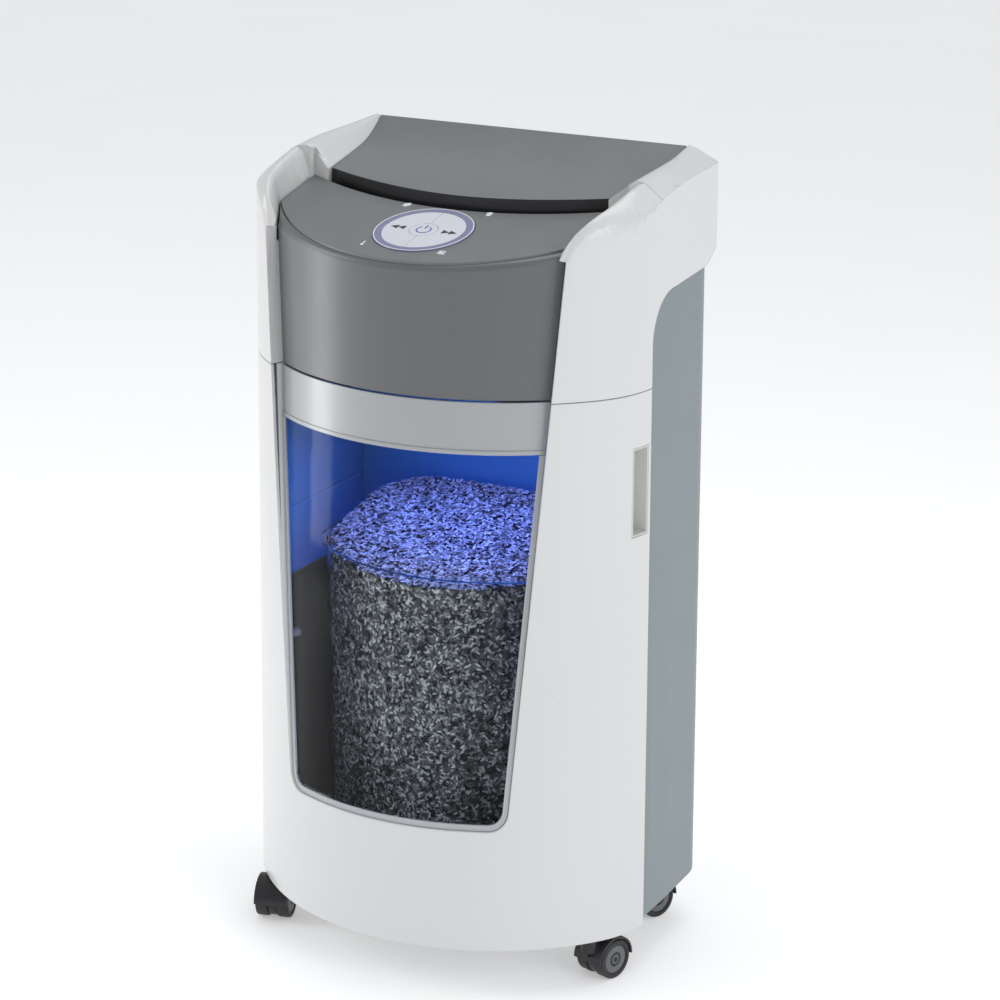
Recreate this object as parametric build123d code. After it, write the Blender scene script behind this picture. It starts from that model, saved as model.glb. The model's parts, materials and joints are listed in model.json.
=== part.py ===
from build123d import *
import math
import os

# Office paper shredder. Millimetres, +Z up, front faces -Y.
# Origin: on the floor, under the middle of the overall box.

# ---------------------------------------------------------------- driving sizes
front_y = -150.0            # front of the white shell
back_y = 150.0              # rear of the cabinet and head
foot_half_width = 203.0     # half width at the shell's lower edge
side_draft = 0.012          # how much each side narrows per mm of height
shell_foot_z = 44.0         # lower edge of the white shell
seam_z = 564.0              # joint between pull-out drawer and head
head_top_z = 757.0          # highest point of the head
split_y = -8.0              # rear edge of the white drawer shell
front_radius = 226.0        # bow of the front
corner_radius = 110.0       # front corners, seen from above
head_rear_radius = 14.0     # rear corners of the head
casing_rear_radius = 48.0   # rear corners of the cabinet
taper_y = 42.0              # where the sides start to converge rearwards
rear_taper = 3.0            # how much each side has moved in at the rear
side_blend_radius = 400.0
wall = 3.0                  # moulded shell wall
seam_gap = 0.8              # open joint between mouldings
fit_gap = 0.3               # clearance between pieces that lie against each other
running_gap = 0.05          # radial clearance of a journal in its bore

window_foot_z = 162.0
window_top_z = 516.0
window_foot_half = 113.0
window_spread = 0.07        # window half width gained per mm of height
window_corner = 20.0
return_slope = 0.5          # how much the opening narrows per mm of depth
recess_foot = 3.0           # how far window lies behind the shell at its foot
recess_growth = 0.021       # and how much deeper it lies per mm of height
pane_thickness = 2.5
trim_width = 6.0
rim_wall = 7.0

panel_front_z = 684.0       # control panel at its front edge
panel_front_y = -134.0
panel_rise = 0.225          # panel slope, rise per mm
panel_thickness = 4.0
panel_half = 161.5
panel_corner_y = -46.0
lip_bow_radius = 351.0      # bow of the feed slot, seen from above
lip_y = -24.0               # panel's rear lip at the middle
slot_gap = 8.5              # feed slot, lip to deck
deck_step = 9.0             # deck above the lip
disc_y = -71.5              # middle of the key disc
ring_radius = 45.5
keys_radius = 38.0
power_key_radius = 13.0
key_travel = 1.0
key_gap = 0.35
key_thickness = 3.0
key_stem = 6.6

grip_z = (431.0, 514.0)     # finger recess in each side of the drawer
grip_y = (-35.0, -12.0)
grip_depth = 16.0

drawer_travel = 260.0
base_z = 52.0               # underside of the base plate
base_thickness = 6.0
tray_z = 61.0
tray_floor = 3.0
tray_half = 171.0
bay_rear_y = 125.0
drawer_side_height = 430.0
drawer_side_y = -52.0       # front edge of the drawer's side panels
drawer_side_wall = 3.0

bulkhead_z = 571.0
bulkhead_thickness = 4.0

feed_y = -5.0               # where the paper enters the cutters
cutter_z = 634.0
cutter_spacing = 35.0
cutter_radius = 21.0
cutter_core = 12.0
cutter_pitch = 10.0
cutter_disc = 4.0
cutter_count = 22
journal_radius = 6.0
frame_x = 118.0             # inner face of each cutter frame plate
frame_plate = 4.0

wheel_radius = 19.0
wheel_width = 12.0
caster_trail = 18.0
caster_web = 8.0
hood_gap = 1.5
hood_wall = 2.0
stem_radius = 4.0
boss_radius = 9.0
casters = {                 # place of each swivel and where its wheels trail
    "front_left": (-166.0, -52.0, -75.0),
    "front_right": (168.0, -52.0, 72.0),
    "rear_left": (-148.0, 92.0, 100.0),
    "rear_right": (148.0, 92.0, 65.0),
}

very_far = 400.0            # half size of the blocks that trim a shape


# ---------------------------------------------------------------- shared shapes
def half_width(z):
    return foot_half_width - side_draft * (z - shell_foot_z)


def recess(z):
    return recess_foot + recess_growth * (z - window_foot_z)


def front_arc_y(x):
    return front_y + front_radius - math.sqrt(front_radius ** 2 - x ** 2)


def outline(z, inset, rear_radius):
    """Plan outline of the body at one height."""
    half = half_width(z) - inset
    rear_half = half - rear_taper
    back = back_y - inset
    ahead = front_y - 20
    corners = [(-half, ahead), (half, ahead), (half, taper_y), (rear_half, back),
               (-rear_half, back), (-half, taper_y)]
    bow = Pos(0, front_y + front_radius) * Circle(front_radius - inset)
    plan = make_face(Polyline(*corners, close=True)) & bow
    front = plan.vertices().sort_by(Axis.Y)[:2]
    plan = fillet(front, corner_radius - inset)
    sides = plan.vertices().filter_by_position(Axis.Y, taper_y - 1, taper_y + 1)
    plan = fillet(sides, side_blend_radius - inset)
    rear = plan.vertices().filter_by_position(Axis.Y, back - 0.5, back + 0.5)
    plan = fillet(rear, rear_radius - inset)
    return Pos(0, 0, z) * plan


def hull(z0, z1, inset0, inset1=None, rear_radius=casing_rear_radius):
    """Body volume between two heights, set in from the outside."""
    last = inset0 if inset1 is None else inset1
    sections = [outline(z0, inset0, rear_radius), outline(z1, last, rear_radius)]
    return loft([s.face() for s in sections], ruled=True)


def skin(z0, z1, depth0, depth1, rear_radius=casing_rear_radius):
    """Wall between two depths below the outside."""
    return hull(z0, z1, depth0, depth0, rear_radius) - hull(z0 - 1, z1 + 1, depth1, depth1, rear_radius)


def recess_skin(z0, z1, proud, deep):
    """Wall that follows the recessed front, from proud to deep of its face."""
    outer = hull(z0, z1, recess(z0) + proud, recess(z1) + proud)
    inner = hull(z0, z1, recess(z0) + deep, recess(z1) + deep)
    return outer - inner


def block(x0, x1, y0, y1, z0, z1):
    size = (abs(x1 - x0), abs(y1 - y0), abs(z1 - z0))
    return Pos((x0 + x1) / 2, (y0 + y1) / 2, (z0 + z1) / 2) * Box(*size)


def mirrored(x0, x1, y0, y1, z0, z1):
    return block(x0, x1, y0, y1, z0, z1) + block(-x1, -x0, y0, y1, z0, z1)


def opening_section(y, shrink, foot, top):
    def half_at(z):
        edge = window_foot_half + window_spread * (z - window_foot_z)
        return edge - return_slope * (y - front_arc_y(edge)) - shrink
    corners = [(-half_at(foot), foot), (half_at(foot), foot), (half_at(top), top), (-half_at(top), top)]
    face = make_face(Polyline(*corners, close=True))
    if foot < window_top_z:
        face = fillet(face.vertices().sort_by(Axis.Y)[:2], window_corner - shrink)
    return Plane.XZ.offset(-y) * face


def opening(shrink=0.0, foot=window_foot_z, top=720.0):
    """Tapered volume of the front opening, which narrows inwards."""
    ends = [opening_section(y, shrink, foot + shrink, top) for y in (front_y - 6, front_y + 84)]
    return loft([e.face() for e in ends], ruled=True)


def revolve_x(points):
    """Solid of revolution about the X axis from (x, radius) points."""
    face = make_face(Polyline(*points, close=True))
    return revolve(face, Axis.X)


def rod_x(x0, x1, y, z, radius):
    return Pos((x0 + x1) / 2, y, z) * Rot(0, 90, 0) * Cylinder(radius, abs(x1 - x0))


def rod_z(z0, z1, x, y, radius):
    return Pos(x, y, (z0 + z1) / 2) * Cylinder(radius, abs(z1 - z0))


def save(name, shape):
    shape.label = name
    export_step(shape, f"parts/{name}.step")


# ---------------------------------------------------------------- drawer
def below_seam_front():
    return block(-very_far, very_far, front_y - 50, split_y, 0, seam_z + 1)


def drawer_front():
    shell = skin(shell_foot_z, seam_z, 0, wall) & below_seam_front()
    rim_foot = window_foot_z - rim_wall
    rim = recess_skin(rim_foot, seam_z, -recess_foot - 2, 4) & hull(rim_foot, seam_z, 0.2)
    rim = rim & opening(-rim_wall)
    body = shell + rim - opening()
    for side in (-1, 1):
        x = side * half_width(grip_z[0])
        body -= block(x - 12, x + 12, *grip_y, *grip_z)
    return body & below_seam_front()


def grip_cup(side):
    """Finger recess lining, open outwards."""
    inner_x = half_width(grip_z[1]) - grip_depth
    lining = 1.8
    gap = fit_gap
    low, high = grip_z
    box = block(inner_x, very_far, grip_y[0] + gap, grip_y[1] - gap, low + gap, high - gap)
    hollow = block(inner_x + lining, very_far, grip_y[0] + gap + lining, grip_y[1] - gap - lining,
                   low + gap + lining, high - gap - lining)
    cup = (box - hollow) & hull(low, high, 0.4)
    flange = skin(low - 5, high + 5, wall + gap, wall + gap + lining)
    flange = flange & block(0, very_far, grip_y[0] - 5, grip_y[1] + 3.4, 0, 800)
    cup = cup + (flange - box)
    return cup if side > 0 else mirror(cup, Plane.YZ)


def silver_band():
    band = recess_skin(window_top_z, seam_z - seam_gap, 0, wall)
    lip = recess_skin(window_top_z, window_top_z + 4, -1, wall)
    return (band + lip) & opening(fit_gap, window_foot_z + 20)


def window_trim():
    region = opening(fit_gap) - opening(trim_width)
    frame = recess_skin(window_foot_z - 4, window_top_z - fit_gap, -0.8, pane_thickness) & region
    return frame


def window_pane():
    pane = recess_skin(window_foot_z, window_top_z - fit_gap, 0, pane_thickness)
    return pane & opening(trim_width + fit_gap)


def drawer_tray():
    reach = block(-tray_half, tray_half, front_y, bay_rear_y, 0, 200)
    floor = hull(tray_z, tray_z + tray_floor, wall + fit_gap + 1) & reach
    kerb_z = tray_z + 40
    kerb = (skin(tray_z, kerb_z, wall + fit_gap, wall + fit_gap + 3)
            & block(-tray_half, tray_half, front_y, split_y - 40, 0, 200))
    cradle = mirrored(145, 148, -60, 118, tray_z + tray_floor, kerb_z)
    return floor + kerb + cradle


def drawer_side(side):
    x0 = tray_half + fit_gap
    top = tray_z + drawer_side_height
    panel = block(x0, x0 + drawer_side_wall, drawer_side_y, bay_rear_y, tray_z, top)
    panel += block(x0 + drawer_side_wall, x0 + 7, drawer_side_y + 4, bay_rear_y - 6, top - 84, top - 78)
    panel -= block(x0 - 1, x0 + 1, drawer_side_y + 6, bay_rear_y - 6, top - 92, top - 89)
    return panel if side > 0 else mirror(panel, Plane.YZ)


def drawer_back():
    return block(-tray_half, tray_half, bay_rear_y - 3, bay_rear_y, tray_z + tray_floor + fit_gap,
                 tray_z + drawer_side_height)


bin_foot_z = tray_z + tray_floor + 0.3
bin_top_z = 386.0
bin_wall = 2.0
bin_half = 128.0
bin_front_y = -93.5
bin_rear_y = 112.0
bin_bow_radius = 168.0
bin_corner = 62.0


def bin_outline(z, inset, spread):
    half = bin_half - inset + spread
    bow = Pos(0, bin_front_y + bin_bow_radius - spread) * Circle(bin_bow_radius - inset)
    rear = bin_rear_y - inset + spread
    plan = Pos(0, rear / 2 - 75) * Rectangle(2 * half, rear + 150)
    plan = plan & bow
    plan = fillet(plan.vertices(), bin_corner - inset)
    return (Pos(0, 0, z) * plan).face()


def bin_solid(z0, z1, inset):
    spread = 5.0
    grow0 = -spread * (bin_top_z - z0) / (bin_top_z - bin_foot_z)
    grow1 = -spread * (bin_top_z - z1) / (bin_top_z - bin_foot_z)
    return loft([bin_outline(z0, inset, grow0), bin_outline(z1, inset, grow1)], ruled=True)


def bin_tub():
    tub = bin_solid(bin_foot_z, bin_top_z, 0)
    rim = loft([bin_outline(bin_top_z - 3, -5, 0), bin_outline(bin_top_z, -5, 0)], ruled=True)
    return tub + rim - bin_solid(bin_foot_z + bin_wall, bin_top_z + 0.5, bin_wall)


pile_front_z = 372.0
pile_rear_z = 412.0


def paper_shreds():
    """Settled fill of cut paper, as one simple volume."""
    clear = bin_wall + fit_gap
    pile = bin_solid(bin_foot_z + clear, pile_rear_z + 6, clear)
    run = bin_rear_y - bin_front_y
    lean = math.degrees(math.atan((pile_rear_z - pile_front_z) / run))
    lid = Pos(0, bin_front_y, pile_front_z) * Rot(lean, 0, 0) * Pos(0, run / 2, 100)
    return pile - lid * Box(2 * bin_half + 40, run + 120, 200)


runner_y = (-36.0, 128.0)
runner_z = (base_z + base_thickness, base_z + base_thickness + 20)
runner_outer_x = 189.0
runner_sheet = 1.5


def channel(depth, reach, y0, y1):
    """Right-hand runner channel, nested by depth inside the outermost one."""
    x1 = runner_outer_x - depth
    z0 = runner_z[0] + depth
    z1 = runner_z[1] - depth
    rail = block(reach, x1, y0, y1, z0, z1)
    return rail - block(reach - 1, x1 - runner_sheet, y0 - 1, y1 + 1, z0 + runner_sheet, z1 - runner_sheet)


def runner_fixed(side):
    rail = channel(0, 181, *runner_y)
    return rail if side > 0 else mirror(rail, Plane.YZ)


def runner_middle(side):
    rail = channel(runner_sheet + fit_gap, 177.5, *runner_y)
    return rail if side > 0 else mirror(rail, Plane.YZ)


def runner_moving(side):
    depth = 2 * (runner_sheet + fit_gap)
    inner_x = tray_half + fit_gap + drawer_side_wall
    rail = block(inner_x, runner_outer_x - depth, runner_y[0], bay_rear_y, runner_z[0] + depth,
                 runner_z[1] - depth)
    return rail if side > 0 else mirror(rail, Plane.YZ)


# ---------------------------------------------------------------- cabinet
casing_gap = 1.0
casing_wall = 2.5
casing_foot_z = base_z
back_panel_half = 138.0
foot_round = 28.0           # rounded lower rear edge of the cabinet
screw_places = [(x, z) for x in (-126, 126) for z in (160, 380, 600)]
screw_radius = 4.0
screw_head = 1.2
screw_sink = 1.5


def cheek_lower_profile(grow=0.0):
    """Side view of the joint between the head's cheek and the cabinet."""
    g = grow
    edge = Polyline((split_y + g, 0), (split_y + g, 645 - g), (118, 651 - g), (back_y, 672 - g),
                    (back_y + 60, 700 - g), (back_y + 60, 0), close=True)
    face = make_face(edge)
    corner = face.vertices().filter_by_position(Axis.X, split_y + g - 1, split_y + g + 1).sort_by(Axis.Y)[-1]
    face = fillet(corner, 44)
    bend = face.vertices().filter_by_position(Axis.X, 117, 119)
    return fillet(bend, 30)


def cabinet_zone(grow=0.0):
    """Volume under the cheeks where the cabinet shows."""
    face = Plane.YZ.offset(-very_far) * cheek_lower_profile(grow)
    return extrude(face, 2 * very_far)


def side_panel(side):
    shell = skin(casing_foot_z, 700, casing_gap, casing_gap + casing_wall) & cabinet_zone(seam_gap)
    shell = shell & block(back_panel_half + fit_gap, very_far, split_y, back_y + 10, 0, 760)
    shell -= foot_sweep(casing_gap)
    return shell if side > 0 else mirror(shell, Plane.YZ)


def foot_sweep(inset, depth=0.0):
    """Material taken off so that the lower rear edge is round, to a depth inside the round."""
    y0 = back_y - inset - foot_round
    z0 = casing_foot_z + foot_round
    low = block(-very_far, very_far, y0, back_y + 10, casing_foot_z - 10, z0)
    return low - Pos(0, y0, z0) * Rot(0, 90, 0) * Cylinder(foot_round - depth, 2 * very_far)


def back_panel():
    top = 651.0
    bend_y = back_y - foot_round
    bend_z = casing_foot_z + foot_round
    solid_bend = Pos(0, bend_y, bend_z) * Rot(0, 90, 0) * Cylinder(foot_round, 2 * back_panel_half)
    inner_bend = Pos(0, bend_y, bend_z) * Rot(0, 90, 0) * Cylinder(foot_round - wall, 2 * very_far)
    low = block(-back_panel_half, back_panel_half, bend_y, back_y, casing_foot_z, bend_z)
    shell = block(-back_panel_half, back_panel_half, back_y - wall, back_y, bend_z, top)
    shell += (solid_bend & low) - inner_bend
    for row in range(9):
        z = 585 + 6.5 * row
        shell -= block(20, 110, back_y - 20, back_y + 10, z, z + 2.6)
    shell -= block(*inlet_x, back_y - 20, back_y + 10, *inlet_z)
    shell -= block(*rocker_x, back_y - 20, back_y + 10, *rocker_z)
    for x, z in screw_places:
        shell -= Pos(x, back_y, z) * Rot(90, 0, 0) * Cylinder(screw_radius + fit_gap, 2 * screw_sink)
    return shell


boss_drop = 6.0             # how far the caster sockets reach under the base plate


def base_plate():
    inset = casing_gap + casing_wall + fit_gap
    top = base_z + base_thickness
    rear = hull(base_z, top, inset) & block(-very_far, very_far, split_y + 6, back_y, 0, 100)
    front = hull(base_z, top, 6) & block(-very_far, very_far, -134, split_y + 8, 0, 100)
    plate = rear + front - foot_sweep(0, wall + fit_gap)
    for x, y, _ in casters.values():
        plate += rod_z(base_z - boss_drop, top, x, y, boss_radius)
    for x, y, _ in casters.values():
        plate -= rod_z(base_z - boss_drop - 1, top - 1.2, x, y, stem_radius + running_gap)
    return plate


def bay_rear_frame():
    """Upright tray that stiffens the rear of the cabinet."""
    y1 = back_y - wall - fit_gap
    sheet = block(-150, 150, bay_rear_y + 8, bay_rear_y + 10, base_z + base_thickness, bulkhead_z)
    ribs = mirrored(90, 93, bay_rear_y + 10, y1, rocker_z[1] + 8, bulkhead_z)
    sheet -= block(rocker_x[0] - 1, rocker_x[1] + 1, bay_rear_y, back_y, rocker_z[0] - 1, rocker_z[1] + 1)
    return sheet + ribs - foot_sweep(0, wall + fit_gap)


def bulkhead():
    z1 = bulkhead_z + bulkhead_thickness
    inset = casing_gap + casing_wall + fit_gap
    rear = hull(bulkhead_z, z1, inset) & block(-very_far, very_far, split_y + 4, back_y - inset, 0, 800)
    front_inset = cover_inset + cover_wall + fit_gap
    front = hull(bulkhead_z, z1, front_inset) & block(-128, 128, front_y, split_y + 10, 0, 800)
    throat = block(-frame_x + 6, frame_x - 6, feed_y - 32, feed_y + 32, 0, 800)
    return rear + front - throat


def bin_switch():
    body = block(150, 160, bay_rear_y + 1, bay_rear_y + 7.5, base_z + base_thickness, base_z + base_thickness + 22)
    lever = block(152, 158, bay_rear_y + 0.4, bay_rear_y + 1, base_z + base_thickness + 4,
                  base_z + base_thickness + 20)
    return body + lever


inlet_x = (-128.0, -98.0)
inlet_z = (106.0, 130.0)
rocker_x = (-84.0, -64.0)
rocker_z = (104.0, 132.0)
rocker_pivot_y = back_y - 9.0
rocker_tilt = 7.0


def mains_inlet():
    x0, x1 = inlet_x
    z0, z1 = inlet_z
    g = fit_gap
    body = block(x0 + g, x1 - g, back_y - 3.2, back_y, z0 + g, z1 - g)
    body += block(x0 + 2, x1 - 2, back_y - 15, back_y - 3, z0 + 2, z1 - 2)
    cavity = block(x0 + 4.5, x1 - 4.5, back_y - 13, back_y + 1, z0 + 5, z1 - 5)
    body -= cavity
    middle_x = (x0 + x1) / 2
    middle_z = (z0 + z1) / 2
    for dx, dz in ((-6, -1.5), (6, -1.5), (0, 2.5)):
        x = middle_x + dx
        z = middle_z + dz
        body += block(x - 1, x + 1, back_y - 13.5, back_y - 3, z - 2, z + 2)
    return body


def rocker_housing():
    x0, x1 = rocker_x
    z0, z1 = rocker_z
    g = fit_gap
    body = block(x0 + g, x1 - g, back_y - 20, back_y, z0 + g, z1 - g)
    return body - block(x0 + 2.2, x1 - 2.2, back_y - 18.5, back_y + 1, z0 + 2.5, z1 - 2.5)


def rocker():
    x0, x1 = rocker_x
    z = sum(rocker_z) / 2
    half_z = (rocker_z[1] - rocker_z[0]) / 2 - 2.5
    reach = half_z - 0.9
    profile = make_face(Polyline((-6.5, -reach), (5.6, -reach), (7.2, 0), (5.6, reach), (-6.5, reach), close=True))
    cap = extrude(Plane.YZ.offset(x0 + 2.6) * profile, x1 - x0 - 5.2)
    cap = cap & rod_x(x0, x1, 0, 0, math.hypot(reach, 5.6))
    cap = Rot(rocker_tilt, 0, 0) * cap
    return Pos(0, rocker_pivot_y, z) * cap


# ---------------------------------------------------------------- head covers
panel_plane = Plane(origin=(0, panel_front_y, panel_front_z), x_dir=(1, 0, 0),
                    z_dir=(0, -math.sin(math.atan(panel_rise)), math.cos(math.atan(panel_rise))))


def panel_z(y):
    return panel_front_z + panel_rise * (y - panel_front_y)


def panel_local(y):
    """Distance up the panel from its front edge for a place given by its y."""
    return (y - panel_front_y) / math.cos(math.atan(panel_rise))


def arc_sagitta(radius, half):
    return radius - math.sqrt(radius ** 2 - half ** 2)


def panel_plan(shrink=0.0):
    """D-shaped outline of the control panel, seen from above."""
    half = panel_half - shrink
    front = panel_front_y + shrink
    corner = panel_corner_y
    rear_edge = lip_y + arc_sagitta(lip_bow_radius, half) - shrink
    front_arc = ThreePointArc((-half, corner), (0, front), (half, corner))
    right = Line((half, corner), (half, rear_edge))
    rear_arc = ThreePointArc((half, rear_edge), (0, lip_y - shrink), (-half, rear_edge))
    left = Line((-half, rear_edge), (-half, corner))
    return make_face([front_arc, right, rear_arc, left])


def under_panel(offset, thickness):
    """Slab parallel to the panel, its top at offset above the panel face."""
    slab = Pos(0, 80, offset - thickness / 2) * Box(2 * very_far, 2 * very_far, thickness)
    return panel_plane.location * slab


def control_panel():
    column = extrude(Pos(0, 0, 640) * panel_plan(), 140)
    plate = column & under_panel(0, panel_thickness)
    hole = panel_plane.location * Pos(0, panel_local(disc_y), 0) * Cylinder(ring_radius + fit_gap, 20)
    skirt = column - extrude(Pos(0, 0, 630) * panel_plan(3), 160)
    skirt = skirt & under_panel(-panel_thickness, 8)
    skirt = skirt & block(-very_far, very_far, cover_rear_y + 1, 60, 600, 760)
    return plate + skirt - hole


def disc_ring():
    outer = Cylinder(ring_radius, key_thickness + 0.8) - Cylinder(keys_radius + key_gap, 20)
    seat = Pos(0, 0, -key_thickness / 2 - 2.6) * (Cylinder(ring_radius, 1.6) - Cylinder(keys_radius - 5, 20))
    bridge = Pos(0, 0, -key_thickness / 2 - 1.2) * (Cylinder(ring_radius, 2.4) - Cylinder(keys_radius + 1.5, 20))
    return panel_plane.location * Pos(0, panel_local(disc_y), -key_thickness / 2 + 0.6) * (outer + seat + bridge)


def key_blank(name):
    disc = Cylinder(keys_radius, key_thickness)
    stem = Pos(0, 0, -key_thickness / 2 - key_stem / 2) * Cylinder(3, key_stem)
    if name == "power":
        return Cylinder(power_key_radius, key_thickness) + stem
    side = -1 if name == "reverse" else 1
    half = Pos(side * (100 + key_gap / 2), 0, 0) * Box(200, 200, 40)
    blank = (disc & half) - Cylinder(power_key_radius + key_gap, 40)
    return blank + Pos(side * 24, 0, 0) * stem


def key_cap(name):
    place = Pos(0, panel_local(disc_y), -key_thickness / 2 + 0.7)
    return panel_plane.location * place * key_blank(name)


icon_places = ((-41.6, -25.8), (41.6, -26.2), (-40.0, -109.5), (38.5, -109.8))


def indicator_lenses():
    lenses = [panel_plane.location * Pos(x, panel_local(y), 0.2) * Box(8, 6, 0.4) for x, y in icon_places]
    return Compound(children=[Solid(l.solid().wrapped) for l in lenses])


cover_foot_z = seam_z + seam_gap
cover_wall = 3.0
shoulder_radius = 7.0
cover_inset = 12.6          # how far the cover lies behind the front of the shell
cover_step = 2.2            # how far the cover's top laps up the panel's edge
cover_rear_y = -32.0
cover_widens_z = 676.0      # above this the cover spreads over the cheeks' inner edges


def cover_plan_zone(shrink=0.0):
    """Plan region of the front cover, between the cheeks."""
    s = shrink
    corners = [(-136 + s, front_y - 20), (136 - s, front_y - 20), (136 - s, -95), (142.5 - s, -82),
               (panel_half + 1 - s, panel_corner_y), (panel_half + 1 - s, -20),
               (-panel_half - 1 + s, -20), (-panel_half - 1 + s, panel_corner_y), (-142.5 + s, -82),
               (-136 + s, -95)]
    return extrude(Pos(0, 0, 500) * make_face(Polyline(*corners, close=True)), 300)


def cover_volume(depth):
    """Upright column with the cover's plan, set in by depth."""
    return extrude(outline(cover_foot_z, cover_inset + depth, casing_rear_radius), 160)


def cover_side_zone(shrink=0.0):
    """Column inside the front opening, plus what the cheeks leave above it."""
    low = opening(shrink + fit_gap, window_foot_z + 30)
    high = cover_plan_zone(shrink + fit_gap) & block(-very_far, very_far, -100, -20, cover_widens_z, 760)
    return low + high


def head_front_cover():
    top = -panel_thickness + cover_step
    trim = block(-very_far, very_far, front_y, cover_rear_y, 0, 900)
    outer = cover_volume(0) & under_panel(top, very_far) & block(-very_far, very_far, front_y, 20, 0, 900)
    outer = fillet([e for e in outer.edges() if is_shoulder(e)], shoulder_radius)
    inner = cover_volume(cover_wall) & under_panel(top - cover_wall, very_far)
    pocket = extrude(Pos(0, 0, 640) * panel_plan(-fit_gap), 140) & under_panel(20, 20 + panel_thickness + fit_gap)
    well = panel_plane.location * Pos(0, panel_local(disc_y), 0) * Box(132, 2 * ring_radius + 8, 40)
    cover = (outer - inner) & cover_side_zone() & trim
    return cover - pocket - well


def is_shoulder(edge):
    """Front and corner edges where the cover turns into its top."""
    middle = edge @ 0.5
    on_top = abs(middle.Z - (panel_z(middle.Y) - panel_thickness + cover_step)) < 1.5
    return on_top and middle.Y < -30 and edge.length > 30


deck_profile = ((-26, 717.0), (6, 724.5), (40, 729.0), (75, 732.5), (105, 738.0), (125, 746.0), (141, 756.0))


def deck_surface(drop):
    """Volume under the deck's concave top, lowered by drop."""
    top = Spline(*[(y, z - drop) for y, z in deck_profile])
    first = deck_profile[0]
    last = deck_profile[-1]
    side = Polyline((last[0], last[1] - drop), (last[0], 600), (first[0], 600), (first[0], first[1] - drop))
    face = make_face([top, side])
    return extrude(Plane.YZ.offset(-very_far) * face, 2 * very_far)


def deck_plan(shrink=0.0):
    half_front = 142.0 - shrink
    half_rear = 161.0 - shrink
    front = lip_y + slot_gap + shrink
    edge_y = front + arc_sagitta(lip_bow_radius, half_front)
    arc = ThreePointArc((-half_front, edge_y), (0, front), (half_front, edge_y))
    rest = Polyline((half_front, edge_y), (half_rear, 147 - shrink), (-half_rear, 147 - shrink),
                    (-half_front, edge_y))
    return make_face([arc, rest])


deck_wall = 3.0


def rear_deck():
    column = extrude(Pos(0, 0, 600) * deck_plan(), 180)
    inner = extrude(Pos(0, 0, 590) * deck_plan(deck_wall), 200)
    plate = column & (deck_surface(0) - deck_surface(deck_wall))
    skirt = (column - inner) & deck_surface(0) & block(-very_far, very_far, front_y, 30, 700, 780)
    front_skirt = (column - inner) & deck_surface(0) & block(-very_far, very_far, front_y, 16, 690, 780)
    deck = plate + skirt + front_skirt
    return deck & head_trim()


def head_trim():
    """Everything ahead of the head's leaning rear face."""
    lean = Polyline((-300, 500), (back_y, 500), (back_y, 668), (138.5, 760), (138.5, 800), (-300, 800), close=True)
    return extrude(Plane.YZ.offset(-very_far) * make_face(lean), 2 * very_far)


# y, outer edge z, ridge x, ridge z, inner x, inner z
front_stations = ((-106, 590, 148, 592, 140, 590), (-97, 664, 148.2, 668, 141, 664),
                  (-92, 688, 149, 694, 141.9, 688), (-86, 702, 152.5, 711, 143.2, 697),
                  (-78, 710, 158, 723, 147.2, 699), (-65, 716, 163, 731, 153.2, 702),
                  (-46, 720, 167, 737, 162.6, 706), (-8, 727, 171, 746.5, 162.9, 714),
                  (14, 732, 172, 750, 163.4, 720))
rear_stations = ((8, 731, 171.7, 749.5, 142.6, 726), (50, 738, 170, 752.5, 148.3, 730.5),
                 (100, 740, 166, 754.5, 155, 737.5), (125, 741, 163.5, 756, 158.3, 746.5),
                 (150, 741, 162.5, 757.5, 161.8, 758))


crest_round = 13.0          # how far the rounding of the crest reaches down each slope
station_step = 7.0


def slope_at(stations, k, j):
    """Rate of change of one column at station k, for a smooth curve through the stations."""
    before = stations[max(k - 1, 0)]
    after = stations[min(k + 1, len(stations) - 1)]
    return (after[j] - before[j]) / (after[0] - before[0])


def fill_in(stations):
    """More stations between the given ones, on smooth curves."""
    rows = [stations[0]]
    for k, (a, b) in enumerate(zip(stations, stations[1:])):
        run = b[0] - a[0]
        count = math.ceil(run / station_step)
        for step in range(1, count + 1):
            t = step / count
            rise = t * t * (3 - 2 * t)
            leave = t * (1 - t) ** 2 * run
            arrive = t * t * (t - 1) * run
            row = [a[0] + t * run]
            for j in range(1, len(a)):
                row.append(a[j] + rise * (b[j] - a[j]) + leave * slope_at(stations, k, j)
                           + arrive * slope_at(stations, k + 1, j))
            rows.append(tuple(row))
    return rows


def rounded(before, corner, after, reach):
    """Points on a smooth bend that replaces a corner."""
    ends = []
    for other in (before, after):
        dx, dz = other[0] - corner[0], other[1] - corner[1]
        span = math.hypot(dx, dz)
        share = min(reach, 0.45 * span) / span
        ends.append((corner[0] + share * dx, corner[1] + share * dz))
    bend = []
    for k in range(6):
        t = k / 5
        weights = ((1 - t) ** 2, 2 * t * (1 - t), t * t)
        bend.append(tuple(sum(w * p[i] for w, p in zip(weights, (ends[0], corner, ends[1]))) for i in (0, 1)))
    return bend


def station_section(station, drop):
    y, outer_z, ridge_x, ridge_z, inner_x, inner_z = station
    outside = 230.0
    half = min(half_width(outer_z), 200)
    edge_x = min(half, half_at_y(y))
    slope = (outer_z - ridge_z) / max(edge_x - ridge_x, 6)
    far_z = ridge_z + slope * (outside - ridge_x)
    inside = inner_x + drop
    far = (outside, far_z - drop)
    crest = (max(ridge_x, inside + 1), ridge_z - drop * 1.2)
    near = (inside, inner_z - drop)
    points = [(outside, 500), far, *rounded(far, crest, near, crest_round), near, (inside, 500)]
    return (Plane.XZ.offset(-y) * make_face(Polyline(*points, close=True))).face()


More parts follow.
